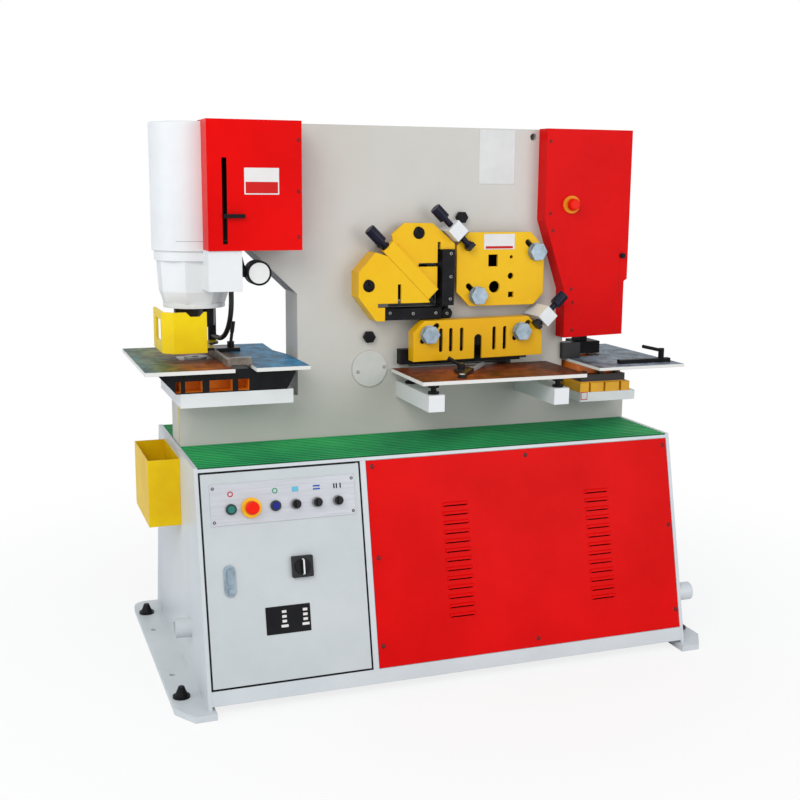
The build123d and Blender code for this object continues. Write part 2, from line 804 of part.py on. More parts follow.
# Beam cylinder and its rod
cap_half = 60.0
rod_collar = 40.0
with BuildPart() as beam_cylinder:
    with Locations((ram_x, frame_mid, beam_barrel_low)):
        Cylinder(beam_barrel_r, beam_barrel_high - beam_barrel_low,
                 align=(Align.CENTER, Align.CENTER, Align.MIN))
        Cylinder(beam_rod_r + running, rod_collar, align=(Align.CENTER, Align.CENTER, Align.MIN),
                 mode=Mode.SUBTRACT)
    with Locations((ram_x, frame_mid, beam_barrel_low + rod_collar)):
        Cylinder(beam_bore_r, beam_barrel_high - beam_barrel_low - rod_collar - barrel_cap,
                 align=(Align.CENTER, Align.CENTER, Align.MIN), mode=Mode.SUBTRACT)
    block((ram_x - cap_half, ram_x + cap_half), (gap_front, gap_back),
          (beam_barrel_high, frame_top - roof_strip))
save(beam_cylinder.part, "beam_cylinder")

with BuildPart() as beam_rod:
    piston_top = beam_barrel_high - barrel_cap - slide_gap
    with Locations((ram_x, frame_mid, beam_arm_high + slide_gap)):
        Cylinder(beam_rod_r, piston_top - beam_arm_high - slide_gap,
                 align=(Align.CENTER, Align.CENTER, Align.MIN))
    with Locations((ram_x, frame_mid, piston_top - piston_height)):
        Cylinder(beam_bore_r - running, piston_height, align=(Align.CENTER, Align.CENTER, Align.MIN))
save(beam_rod.part, "beam_rod")

# Punch cylinder: a barrel with a bolted block that reaches the frame
with BuildPart() as punch_cylinder:
    with Locations((punch_x, frame_mid, barrel_low)):
        Cylinder(barrel_r, barrel_high - barrel_low, align=(Align.CENTER, Align.CENTER, Align.MIN))
    fillet(punch_cylinder.edges().filter_by(GeomType.CIRCLE).sort_by(Axis.Z)[-1], 6)
    block((punch_x, head_left), (frame_front, frame_back), (jaw_underside, barrel_high))
    block((head_left, head_left + barrel_r), (frame_front - barrel_r, frame_back + barrel_r),
          (barrel_low, barrel_high), mode=Mode.SUBTRACT)
    with Locations((punch_x, frame_mid, barrel_low)):
        Cylinder(barrel_bore_r, barrel_high - barrel_low - barrel_cap,
                 align=(Align.CENTER, Align.CENTER, Align.MIN), mode=Mode.SUBTRACT)
save(punch_cylinder.part, "punch_cylinder")

# Punch head: a tapered casting under the barrel, with the hollow stroke box at its front right
collar_low = head_low + 150.0
collar_ring_r = 122.0
head_r = 119.0
head_waist_r = 113.0
head_waist = head_low + 52.0
head_low_r = 98.0
ring_height = 14.0
bar_x = (-706.0, -682.0)
bar_low_y = (-22.0, -6.0)
bar_high_y = (-116.0, -92.0)
box_wall = 3.0
box_top = cover_left_low
lug_x = (-666.0, -642.0)
lug_z = (head_low + 35.0, head_low + 75.0)
lug_back = 140.0
jog_low = box_low + 23.0
with BuildPart() as punch_head:
    with Locations((punch_x, frame_mid, collar_low)):
        Cylinder(collar_ring_r, barrel_low - collar_low, align=(Align.CENTER, Align.CENTER, Align.MIN))
    for top, bottom, top_r, bottom_r in ((collar_low, head_waist, head_r, head_waist_r),
                                         (head_waist, head_low + ring_height, head_waist_r, head_low_r + 2)):
        with BuildSketch(Plane.XY.offset(top)):
            with Locations((punch_x, frame_mid)):
                RegularPolygon(top_r, 8, major_radius=True, rotation=22.5)
        with BuildSketch(Plane.XY.offset(bottom)):
            with Locations((punch_x, frame_mid)):
                RegularPolygon(bottom_r, 8, major_radius=True, rotation=22.5)
        loft()
    with Locations((punch_x, frame_mid, head_low)):
        Cylinder(head_low_r, ring_height, align=(Align.CENTER, Align.CENTER, Align.MIN))
    block((box_left, box_right), (box_front, frame_front), (box_low, box_top))
    block((box_left + box_wall, box_right - box_wall), (box_front + box_wall, bar_high_y[1]),
          (box_low + box_wall, box_top), mode=Mode.SUBTRACT)
    with Locations((punch_x, frame_mid, barrel_low)):
        Cylinder(barrel_r + seat_gap, box_top - barrel_low, align=(Align.CENTER, Align.CENTER, Align.MIN),
                 mode=Mode.SUBTRACT)
    block(lug_x, (frame_mid, lug_back), lug_z)
    block((bar_x[0] - slide_gap, bar_x[1] + slide_gap), (bar_high_y[0] - slide_gap, bar_low_y[1] + slide_gap),
          (jog_low, barrel_low), mode=Mode.SUBTRACT)
    block((bar_x[0] - slide_gap, bar_x[1] + slide_gap), (bar_low_y[0] - slide_gap, bar_low_y[1] + slide_gap),
          (head_low, barrel_low), mode=Mode.SUBTRACT)
    with Locations((punch_x, frame_mid, head_low)):
        Cylinder(rod_r + running, barrel_low - head_low, align=(Align.CENTER, Align.CENTER, Align.MIN),
                 mode=Mode.SUBTRACT)
save(punch_head.part, "punch_head")

# Punch ram with its piston and coupling nut
ram_top = barrel_high - barrel_cap - slide_gap
with BuildPart() as punch_ram:
    with Locations((punch_x, frame_mid, nut_high)):
        Cylinder(rod_r, ram_top - nut_high, align=(Align.CENTER, Align.CENTER, Align.MIN))
    with Locations((punch_x, frame_mid, ram_top - piston_height)):
        Cylinder(barrel_bore_r - running, piston_height, align=(Align.CENTER, Align.CENTER, Align.MIN))
    with Locations((punch_x, frame_mid, nut_low)):
        Cylinder(nut_r, nut_high - nut_low, align=(Align.CENTER, Align.CENTER, Align.MIN))
save(punch_ram.part, "punch_ram")

with BuildPart() as punch_tool:
    with Locations((punch_x, frame_mid, tool_low)):
        Cylinder(tool_r, nut_low - tool_low, align=(Align.CENTER, Align.CENTER, Align.MIN))
    with Locations((punch_x, frame_mid, punch_tip)):
        Cylinder(punch_tip_r, tool_low - punch_tip, align=(Align.CENTER, Align.CENTER, Align.MIN))
save(punch_tool.part, "punch_tool")

# Stroke bar: rises from the nut through the box, with a pointer out of the cover's slot
bar_top = jaw_underside + 115.0
jog_high = jaw_underside - 14.0
pointer_z = (bar_top - 20.0, bar_top - 8.0)
pointer_x = (slot_x[0] + 2, slot_x[1] - 2)
pointer_front = -180.0
pointer_end = -608.0
with BuildPart() as stroke_bar:
    block(bar_x, bar_low_y, (nut_low, jog_high))
    block(bar_x, (bar_high_y[0], bar_low_y[1]), (jog_high - 20, jog_high))
    block(bar_x, bar_high_y, (jog_high - 20, bar_top))
    with Locations((punch_x, frame_mid, nut_low)):
        Cylinder(nut_r, nut_high - nut_low, align=(Align.CENTER, Align.CENTER, Align.MIN), mode=Mode.SUBTRACT)
    block((bar_x[0], pointer_x[1]), bar_high_y, pointer_z)
    block(pointer_x, (pointer_front, bar_high_y[1]), pointer_z)
    block((pointer_x[0], pointer_end), (pointer_front, pointer_front + 10), pointer_z)
save(stroke_bar.part, "stroke_bar")

# Die with its holder, bolster with its windows, and the punching table
die_block = (-786.0, -684.0)
die_block_y = (3.0, 97.0)
die_top = punch_table_top + 4.0
bolster_low_x = (-826.0, -476.0)
bolster_high_x = (-890.0, -438.0)
window_x = ((-828.0, -812.0), (-798.0, -745.0), (-723.0, -651.0), (-633.0, -598.0))
window_depth = 60.0
table_low = punch_table_top - table_sheet
bolster_low = jaw_height + shelf_sheet
window_z = (bolster_low + 4.0, bolster_low + 39.0)
channel_x = (-657.0, -590.0)
channel_back = -60.0
with BuildPart() as punch_die:
    block(die_block, die_block_y, (table_low, punch_table_top - 1))
    with Locations((punch_x, frame_mid, table_low)):
        Cylinder(die_r, die_top - table_low, align=(Align.CENTER, Align.CENTER, Align.MIN))
        Cylinder(punch_tip_r + die_clearance, die_top - table_low,
                 align=(Align.CENTER, Align.CENTER, Align.MIN), mode=Mode.SUBTRACT)
save(punch_die.part, "punch_die")

with BuildPart() as punch_bolster:
    with BuildSketch(wall_at(shelf_y[1])):
        outline([(bolster_low_x[0], bolster_low), (bolster_low_x[1], bolster_low),
                 (bolster_high_x[1], table_low), (bolster_high_x[0], table_low)])
    extrude(amount=shelf_y[1] - shelf_y[0])
    for left, right in window_x:
        block((left, right), (shelf_y[0], shelf_y[0] + window_depth), window_z, mode=Mode.SUBTRACT)
    with Locations((punch_x, frame_mid, bolster_low)):
        Cylinder(slug_r, table_low - bolster_low, align=(Align.CENTER, Align.CENTER, Align.MIN),
                 mode=Mode.SUBTRACT)
save(punch_bolster.part, "punch_bolster")

with BuildPart() as punch_table:
    with BuildSketch(Plane.XY.offset(table_low)):
        outline([(punch_table_x[0], punch_table_y[0]), (punch_table_x[1], punch_table_y[0]), (-426, 37),
                 (-450, 143), (-442, punch_table_y[1]), (punch_table_x[0], punch_table_y[1])])
        centred(die_block[0] - 3, die_block[1] + 3, die_block_y[0] - 3, die_block_y[1] + 3)
        centred(channel_x[0], channel_x[1], punch_table_y[0], channel_back)
    extrude(amount=table_sheet)
save(punch_table.part, "punch_table")

# Punching fence and its clamp lever
fence_bar = (-672.0, -660.0)
fence_y = (-183.0, 160.0)
fence_height = 22.0
fence_foot_x = (-660.0, -560.0)
fence_foot_y = (150.0, 215.0)
fence_foot_height = 12.0
lever_bore_r = 7.0
punch_lever_x = -585.0
punch_lever_y = 185.0
with BuildPart() as punch_fence:
    block(fence_bar, fence_y, (punch_table_top, punch_table_top + fence_height))
    block((fence_bar[0], fence_foot_x[1]), (fence_y[1] - 10, fence_foot_y[1]),
          (punch_table_top, punch_table_top + fence_foot_height))
    block((fence_bar[1], channel_x[1] + 2), (-150, -128), (punch_table_top, punch_table_top + fence_height))
    with Locations((punch_lever_x, punch_lever_y, punch_table_top + 2)):
        Cylinder(lever_bore_r + running, fence_foot_height - 2, align=(Align.CENTER, Align.CENTER, Align.MIN),
                 mode=Mode.SUBTRACT)
save(punch_fence.part, "punch_fence")


def clamp_lever(x, y, low, seat, rise, reach, turn, name):
    """A ball-ended clamp lever: stem in its bore, hub and a leaning grip."""
    direction = (math.cos(math.radians(turn)), math.sin(math.radians(turn)))
    with BuildPart() as lever:
        with Locations((x, y, low)):
            Cylinder(lever_bore_r, seat - low + 4, align=(Align.CENTER, Align.CENTER, Align.MIN))
        with Locations((x, y, seat + slide_gap)):
            Cylinder(12, 18, align=(Align.CENTER, Align.CENTER, Align.MIN))
        hub_top = seat + slide_gap + 10
        grip = (reach * direction[0], reach * direction[1], rise)
        with BuildSketch(Plane(origin=(x, y, hub_top), z_dir=grip)):
            Circle(5.5)
        extrude(amount=math.hypot(reach, rise))
        with BuildSketch(Plane(origin=(x + grip[0] / 2, y + grip[1] / 2, hub_top + rise / 2), z_dir=grip)):
            Circle(7)
        extrude(amount=math.hypot(reach, rise) / 2)
    save(lever.part, name)


clamp_lever(punch_lever_x, punch_lever_y, punch_table_top + 3, punch_table_top + fence_foot_height,
            75, 12, 20, "punch_lever")

# Left cover over the punch cylinder, with its slot
with BuildPart() as cover_left:
    block(cover_left_x, (cover_left_front, frame_front), (cover_left_low, cover_top))
    block((cover_left_x[0] + sheet, cover_left_x[1] - sheet), (cover_left_front + sheet, frame_front),
          (cover_left_low, cover_top - sheet), mode=Mode.SUBTRACT)
    with BuildSketch(Plane.XY.offset(cover_left_low)):
        with Locations((punch_x, frame_mid)):
            Circle(barrel_r + 1)
    extrude(amount=barrel_high + 1 - cover_left_low, mode=Mode.SUBTRACT)
    block(slot_x, (cover_left_front, cover_left_front + sheet), slot_z, mode=Mode.SUBTRACT)
save(cover_left.part, "cover_left")

# Stripper guard: bent yellow plates round the punch, and the arm behind that carries it
guard_window_y = (-40.0, 60.0)
guard_window_z = (guard_low + 24.0, guard_low + 94.0)
scoop_x = (-780.0, -724.0)
scoop_depth = 14.0
guard_back = 110.0
stripper_low = guard_low - stripper_sheet
stripper_right = -685.0
stripper_right_y = 60.0
stripper_front = -45.0
with BuildPart() as stripper_guard:
    with BuildSketch(Plane.XY.offset(guard_low)):
        outline([(guard_right, guard_front), (guard_left + guard_chamfer, guard_front),
                 (guard_left, guard_front + guard_chamfer), (guard_left, guard_back),
                 (guard_left + guard_sheet, guard_back),
                 (guard_left + guard_sheet, guard_front + guard_chamfer + guard_sheet / 2),
                 (guard_left + guard_chamfer + guard_sheet / 2, guard_front + guard_sheet),
                 (guard_right, guard_front + guard_sheet)])
    extrude(amount=guard_high - guard_low)
    block((guard_left, guard_left + guard_sheet), guard_window_y, guard_window_z, mode=Mode.SUBTRACT)
    with BuildSketch(wall_at(guard_front + guard_sheet)):
        centre_x = (scoop_x[0] + scoop_x[1]) / 2
        outline([(scoop_x[0], guard_high), (scoop_x[0] + scoop_depth, guard_high - scoop_depth),
                 (scoop_x[1] - scoop_depth, guard_high - scoop_depth), (scoop_x[1], guard_high)])
    extrude(amount=guard_sheet, mode=Mode.SUBTRACT)
    with BuildSketch(Plane.XY.offset(stripper_low)):
        outline([(guard_right, guard_front), (guard_left + guard_chamfer, guard_front),
                 (guard_left, guard_front + guard_chamfer), (guard_left, guard_back), (punch_x, lug_back),
                 (lug_x[1], lug_back), (lug_x[1], guard_back), (stripper_right, stripper_right_y),
                 (stripper_right, stripper_front), (guard_right, stripper_front)])
        with Locations((punch_x, frame_mid)):
            Circle(stripper_hole_r, mode=Mode.SUBTRACT)
    extrude(amount=stripper_sheet)
save(stripper_guard.part, "stripper_guard")

arm_thickness = 22.0
with BuildPart() as stripper_arm:
    block(lug_x, (lug_back, lug_back + arm_thickness), (stripper_low, lug_z[1]))
save(stripper_arm.part, "stripper_arm")

# Hydraulic hose: down from the stroke box, then back to the foot of the stripper arm
hose_r = 8.0
hose_bend = 140.0
hose_start = (-631.0, -60.0)
hose_level = stripper_low + 24.0
arm_middle = (lug_x[0] + lug_x[1]) / 2
with BuildPart() as hydraulic_hose:
    with BuildLine():
        FilletPolyline((hose_start[0], hose_start[1], box_low), (hose_start[0], hose_start[1], hose_level),
                       (arm_middle, lug_back, hose_level), radius=hose_bend)
    with BuildSketch(Plane.XY.offset(box_low)):
        with Locations(hose_start):
            Circle(hose_r)
    sweep()
    block(lug_x, (lug_back, lug_back + arm_thickness), (stripper_low, lug_z[1]), mode=Mode.SUBTRACT)
print("hose length", round(hydraulic_hose.part.volume / (math.pi * hose_r ** 2), 1))
save(hydraulic_hose.part, "hydraulic_hose")

# Work lamp: an arm under the head and a tilting can
lamp_centre = (-554.0, -95.0, jaw_underside - 76.0)
lamp_r = 39.0
lamp_y = (-120.0, -70.0)
lamp_arm_x = (-600.0, -594.0)
lamp_pin_r = 5.0
lamp_arm_width = 26.0
with BuildPart() as lamp_arm:
    with BuildSketch(Plane.YZ.offset(lamp_arm_x[0])):
        half = lamp_arm_width / 2
        outline([(frame_front, jaw_underside), (gap_front, jaw_underside),
                 (lamp_centre[1] + half, lamp_centre[2] - half),
                 (lamp_centre[1] - half, lamp_centre[2] - half),
                 (lamp_centre[1] - half, lamp_centre[2] + half)])
        with Locations((lamp_centre[1], lamp_centre[2])):
            Circle(lamp_pin_r + running, mode=Mode.SUBTRACT)
    extrude(amount=lamp_arm_x[1] - lamp_arm_x[0])
save(lamp_arm.part, "lamp_arm")

with BuildPart() as lamp_head:
    with BuildSketch(wall_at(lamp_y[1])):
        with Locations((lamp_centre[0], lamp_centre[2])):
            Circle(lamp_r)
    extrude(amount=lamp_y[1] - lamp_y[0])
    with BuildSketch(Plane.YZ.offset(lamp_arm_x[0] - 4)):
        with Locations((lamp_centre[1], lamp_centre[2])):
            Circle(lamp_pin_r)
    extrude(amount=lamp_centre[0] - lamp_arm_x[0])
save(lamp_head.part, "lamp_head")

# Right cover: a folded front over the beam cylinder, and the box behind
cover_edge = [(447, cover_top), (775, cover_top), (775, 1222), (763, 1215), (763, 1028), (533, 1022),
              (528, 1190), (447, 1428)]
inner_edge = [(449, cover_top - 2), (773, cover_top - 2), (773, 1223), (761, 1216), (761, 1030), (535, 1024),
              (530, 1190), (449, 1428)]
rear_box_y = (125.0, 185.0)
cover_stop = (544.0, 1480.0)
knob_centre = (752.0, 1304.0)
knob_r = 9.0
with BuildPart() as cover_right:
    with BuildSketch(wall_at(frame_front)):
        outline(cover_edge)
    extrude(amount=frame_front - cover_right_front)
    with BuildSketch(wall_at(frame_front)):
        outline(inner_edge)
    extrude(amount=frame_front - cover_right_front - cover_sheet, mode=Mode.SUBTRACT)
    with BuildSketch(wall_at(cover_right_front)):
        with Locations(cover_stop):
            Circle(collar_r)
        with Locations(knob_centre):
            Circle(knob_r)
    extrude(amount=collar_height)
    with BuildSketch(wall_at(cover_right_front + cover_sheet)):
        with Locations(cover_stop):
            Circle(estop_stem_r + slide_gap)
    extrude(amount=collar_height + cover_sheet, mode=Mode.SUBTRACT)
    block((cover_edge[0][0], cover_edge[1][0]), rear_box_y, (cover_edge[2][1], cover_top))
    block((inner_edge[0][0], inner_edge[1][0]), (rear_box_y[0], rear_box_y[1] - cover_sheet),
          (cover_edge[2][1] + cover_sheet, cover_top - cover_sheet), mode=Mode.SUBTRACT)
save(cover_right.part, "cover_right")

estop_head(wall_at(cover_right_front), cover_stop[0], cover_stop[1], "cover_stop_button")

# Fixed blades: the angle shear's two holders and the flat bar holder with its end feet
blade_front = -85.0
flat_holder_front = -60.0
level_blade_x = (-126.0, 73.0)
level_blade_z = (1103.0, 1141.0)
upright_blade_x = (level_blade_x[1] + 1.0, 117.0)
upright_blade_z = (1147.0, 1331.0)
corner_plate = 10.0
flat_holder_x = (-63.0, 378.0)
flat_holder_z = (950.0, 1000.0)
pin_length = 30.0
blade_pin = (105.0, 1117.0)
blade_pin_r = 19.0
bush_r = 14.0
bush_length = 9.0
bush_gap = 1.0
band_width = 48.0
band_length = 225.0
band_tip = (55.0, 1204.0)
band_front = -98.0
band_back = -74.0
side_gap = 1.0
angle_screw_y = -88.0
angle_screw_across = 29.0


def band_point(along, across):
    """A point measured up the band from its tip and across it, in the front view."""
    return (band_tip[0] - (along + across) * block_x, band_tip[1] + (along - across) * block_x)


bush_from = band_length + bush_gap
bush_to = bush_from + bush_length
with BuildPart() as shear_blades:
    block(level_blade_x, (blade_front, frame_front), level_blade_z)
    block(upright_blade_x, (blade_front, frame_front), upright_blade_z)
    block((level_blade_x[1], upright_blade_x[1]), (frame_front - corner_plate, frame_front),
          (level_blade_z[0], upright_blade_z[0] + 3))
    block(flat_holder_x, (flat_holder_front, frame_front), flat_holder_z)
    with Locations((blade_pin[0], frame_front, blade_pin[1])):
        Cylinder(blade_pin_r, pin_length, rotation=(90, 0, 0), align=(Align.CENTER, Align.CENTER, Align.MIN))
    with BuildSketch(wall_at(frame_front)):
        outline([band_point(bush_from, angle_screw_across - 8), band_point(bush_to, angle_screw_across - 8),
                 band_point(bush_to, angle_screw_across + 8), band_point(bush_from, angle_screw_across + 8)])
    extrude(amount=frame_front - angle_screw_y)
    with BuildSketch(slant_plane(band_point(bush_to, angle_screw_across), angle_screw_y, down_right)):
        Circle(bush_r)
    extrude(amount=bush_length)
    with BuildSketch(slant_plane(band_point(bush_to + 5, angle_screw_across), angle_screw_y, down_right)):
        Circle(screw_stem_r + running)
    extrude(amount=bush_length + 10, mode=Mode.SUBTRACT)
save(shear_blades.part, "shear_blades")

# Angle hold down: a thick band that slides on the 45 degree line onto the angle bar
with BuildPart() as angle_hold_down:
    with BuildSketch(wall_at(band_back)):
        outline([band_point(0, 0), band_point(band_length, 0), band_point(band_length, band_width),
                 band_point(0, band_width)])
    extrude(amount=band_back - band_front)
save(angle_hold_down.part, "angle_hold_down")

# Angle shear guards: the lower left plate and the upper plate with the band's rail
guard_bolt = (-188.0, 1219.0)
upper_bolt = (-5.0, 1387.0)
bolt_r = 12.0
rail_from = 100.0
rail_to = 195.0
lower_edge = [band_point(band_length - 20, band_width + side_gap), (-165, 1327), (-223, 1263), (-223, 1182),
              (-162, 1103), (-132, 1102)]
lower_inner = [(-132, 1110), (-158, 1111), (-215, 1185), (-215, 1260), (-162, 1318)]
with BuildPart() as angle_guards:
    with BuildSketch(wall_at(guard_face_angle + guard_skin)):
        outline(lower_edge + [(-132, 1147), (-157, 1147), (-157, 1160), (25, 1160),
                              band_point(0, band_width + side_gap)])
        centred(-88, -76, 1160, 1222)
    extrude(amount=guard_skin)
    with BuildSketch(wall_at(frame_front)):
        outline(lower_edge[1:] + lower_inner)
    extrude(amount=frame_front - guard_face_angle - guard_skin)
    with BuildSketch(wall_at(frame_front)):
        with Locations(guard_bolt):
            Circle(bolt_r)
    extrude(amount=frame_front - guard_face_angle - guard_skin)
    with BuildSketch(wall_at(guard_face_upper + guard_skin)):
        outline([(-100, 1383), (-55, 1420), (43, 1419), (69, 1398), (124, 1350), (124, 1333), (73, 1333),
                 (73, 1357), (62, 1357), (62, 1206), band_point(0, -side_gap),
                 band_point(band_length - 12, -side_gap)])
        centred(-5, 62, 1276, 1288)
    extrude(amount=guard_skin)
    with BuildSketch(wall_at(frame_front)):
        with Locations(upper_bolt):
            Circle(bolt_r)
    extrude(amount=frame_front - guard_face_upper - guard_skin)
    with BuildSketch(wall_at(frame_front)):
        outline([band_point(rail_from, -side_gap - 12), band_point(rail_to, -side_gap - 12),
                 band_point(rail_to, band_width), band_point(rail_from, band_width)])
    extrude(amount=frame_front - band_back)
save(angle_guards.part, "angle_guards")


def clamp_screw(tip, depth, direction, foot_length, stem_length, knob_length, name):
    """A screw with a flat foot, a stem and a knob, pushing along a slanted axis."""
    with BuildPart() as screw:
        back = (-direction[0], -direction[1])
        if foot_length:
            with BuildSketch(slant_plane(tip, depth, back)):
                Circle(screw_foot_r)
            extrude(amount=foot_length)
        with BuildSketch(slant_plane(tip, depth, back)):
            Circle(screw_stem_r)
        extrude(amount=stem_length)
        knob_at = (tip[0] + back[0] * stem_length, tip[1] + back[1] * stem_length)
        with BuildSketch(slant_plane(knob_at, depth, back)):
            Circle(screw_head_r)
        extrude(amount=knob_length)
        fillet(screw.edges().filter_by(GeomType.CIRCLE).group_by(Axis.Z)[-1], 3)
    save(screw.part, name)


angle_stem = 24.0
angle_knob_length = 60.0
clamp_screw(band_point(band_length, angle_screw_across), angle_screw_y, down_right, 0, angle_stem,
            angle_knob_length, "angle_screw")

# Section shear plate with its apertures, sliding on two studs
section_slot = 46.0
section_studs = ((425.0, 1321.0), (208.0, 1176.0))
section_low = (132.0, 455.0, 1141.0, 1388.0)
plate_chamfer = 44.0
stud_corner = 52.0
low_right_corner = 37.0
low_left_corner = 48.0


def travel_slot(point, travel, direction):
    """Cuts a slot that clears a stud over a travel, in the sketch being built."""
    far = (point[0] - direction[0] * travel, point[1] - direction[1] * travel)
    with Locations(((point[0] + far[0]) / 2, (point[1] + far[1]) / 2)):
        turn = math.degrees(math.atan2(direction[1], direction[0]))
        SlotCenterToCenter(travel, 2 * (stud_r + stud_gap), rotation=turn, mode=Mode.SUBTRACT)


lug_half = 7.0
lug_width = 30.0
lug_height = 30.0
section_lug = (section_block[0] + 52, section_block[1] - 52)
with BuildPart() as section_plate:
    with BuildSketch(wall_at(guard_face_section + guard_skin)):
        left, right, low, high = section_low
        outline([(left + plate_chamfer, high), (right - stud_corner, high), (right, high - stud_corner),
                 (right, low + low_right_corner), (right - low_right_corner, low),
                 (left + low_left_corner, low), (left, low + low_left_corner), (left, high - plate_chamfer)])
        for stud in section_studs:
            travel_slot(stud, section_slot, down_right)
        centred(247, 282, 1273, 1313)
        with Locations((271, 1204)):
            Circle(20, mode=Mode.SUBTRACT)
        with Locations((331, 1240)):
            Circle(11, mode=Mode.SUBTRACT)
        with Locations((332, 1304)):
            Circle(6, mode=Mode.SUBTRACT)
        centred(323, 343, 1167, 1186)
    extrude(amount=guard_skin)
    with BuildSketch(wall_at(guard_face_section)):
        with Locations(section_lug):
            Rectangle(2 * lug_half, lug_width, rotation=-45)
    extrude(amount=lug_height)
save(section_plate.part, "section_plate")

section_tip = toward(section_lug, -lug_half)
section_reach = math.dist(section_tip, section_block) + 58
clamp_screw(section_tip, section_screw_y, down_right, screw_foot_length, section_reach, screw_head_length,
            "section_screw")

# Flat bar guard: a deep slotted cover, sliding on two studs
flat_studs = ((19.0, 1055.0), (355.0, 1055.0))
flat_back = -62.0
flat_wall = 8.0
flat_slots = (62.0, 98.0, 137.0, 256.0, 295.0)
flat_edge = [(-36, 1062), (3, 1100), (383, 1105), (434, 1054), (437, 972), (-35, 965)]
flat_inner = [(-28, 1059), (6, 1092), (380, 1097), (426, 1052), (429, 964), (-27, 957)]
flat_lug = (flat_block[0] - 30, flat_block[1] - 30)
with BuildPart() as flat_guard:
    with BuildSketch(wall_at(flat_back)):
        outline(flat_edge)
    extrude(amount=flat_back - guard_face_flat)
    with BuildSketch(wall_at(flat_back)):
        outline(flat_inner)
    extrude(amount=flat_back - guard_face_flat - flat_wall, mode=Mode.SUBTRACT)
    with BuildSketch(wall_at(flat_back)):
        for x in flat_slots:
            with Locations((x, 1034)):
                SlotOverall(80, 13, rotation=90)
        with Locations((197, 990)):
            SlotOverall(120, 28, rotation=90)
    extrude(amount=flat_back - guard_face_flat, mode=Mode.SUBTRACT)
    with BuildSketch(wall_at(flat_back)):
        for x, z in flat_studs:
            with Locations((x + 3, z + 3)):
                SlotCenterToCenter(70, 2 * (stud_r + stud_gap), rotation=45)
    extrude(amount=flat_back - guard_face_flat, mode=Mode.SUBTRACT)
    with BuildSketch(wall_at(guard_face_flat)):
        with Locations(flat_lug):
            Rectangle(2 * lug_half, lug_width, rotation=45)
    extrude(amount=lug_height)
save(flat_guard.part, "flat_guard")

flat_tip = (flat_lug[0] + lug_half * block_x, flat_lug[1] + lug_half * block_x)
flat_reach = math.dist(flat_tip, flat_block) + 52
clamp_screw(flat_tip, flat_screw_y, down_left, screw_foot_length, flat_reach, screw_head_length,
            "flat_screw")

# Clamp nuts on their studs
with BuildPart() as clamp_nuts:
    for studs, face in ((section_studs, guard_face_section), (flat_studs, guard_face_flat)):
        for stud in studs:
            with BuildSketch(wall_at(frame_front)):
                with Locations(stud):
                    Circle(stud_r)
            extrude(amount=frame_front - face + nut_flange + nut_height)
            with BuildSketch(wall_at(face - slide_gap)):
                with Locations(stud):
                    Circle(nut_flange_r)
            extrude(amount=nut_flange)
            with BuildSketch(wall_at(face - slide_gap - nut_flange)):
                with Locations(stud):
                    RegularPolygon(nut_across / 2, 6, major_radius=False)
            extrude(amount=nut_height)
save(clamp_nuts.part, "clamp_nuts")

# Shear table on its levelling studs, with the pin of the mitre fence
mitre_pin = (62.0, -295.0)
mitre_end = (240.0, -62.0)
mitre_bar = 10.0
mitre_height = 12.0
mitre_pin_r = 8.0
shear_low = shear_table_top - table_sheet
levelling_at = ((-38.0, -300.0), (-38.0, -90.0), (403.0, -300.0), (403.0, -90.0))
with BuildPart() as shear_table:
    block(shear_table_x, shear_table_y, (shear_low, shear_table_top))
    with Locations([(x, y, arm_top) for x, y in levelling_at]):
        Cylinder(9, shear_low - arm_top, align=(Align.CENTER, Align.CENTER, Align.MIN))
        Cylinder(18, 7, align=(Align.CENTER, Align.CENTER, Align.MIN))
    with Locations([(x, y, shear_low - 12) for x, y in levelling_at]):
        Cylinder(18, 12, align=(Align.CENTER, Align.CENTER, Align.MIN))
    with Locations((mitre_pin[0], mitre_pin[1], shear_table_top)):
        Cylinder(mitre_pin_r, mitre_height + 3, align=(Align.CENTER, Align.CENTER, Align.MIN))
save(shear_table.part, "shear_table")

# Mitre fence: a bar turning on a pin at its front end, with a foot for the lever
mitre_foot = (126.0, -170.0)
mitre_turn = math.degrees(math.atan2(mitre_end[1] - mitre_pin[1], mitre_end[0] - mitre_pin[0]))
mitre_length = math.dist(mitre_pin, mitre_end)
with BuildPart() as shear_fence:
    with BuildSketch(Plane.XY.offset(shear_table_top)):
        with Locations(((mitre_pin[0] + mitre_end[0]) / 2, (mitre_pin[1] + mitre_end[1]) / 2)):
            Rectangle(mitre_length, mitre_bar, rotation=mitre_turn)
        with Locations(mitre_pin):
            Circle(mitre_pin_r + 6)
            Circle(mitre_pin_r + running, mode=Mode.SUBTRACT)
    extrude(amount=mitre_height)
    with BuildSketch(Plane.XY.offset(shear_table_top)):
        outline([(mitre_pin[0] + 20, mitre_pin[1] + 27), (mitre_foot[0] - 40, mitre_foot[1]),
                 (mitre_foot[0] - 10, mitre_foot[1] + 25), (180, -140)])
    extrude(amount=10)
    with Locations((mitre_foot[0] - 18, mitre_foot[1] - 8, shear_table_top + 2)):
        Cylinder(lever_bore_r + running, 8, align=(Align.CENTER, Align.CENTER, Align.MIN), mode=Mode.SUBTRACT)
save(shear_fence.part, "shear_fence")

clamp_lever(mitre_foot[0] - 18, mitre_foot[1] - 8, shear_table_top + 3, shear_table_top + 10, 26, 44, 160,
            "shear_lever")

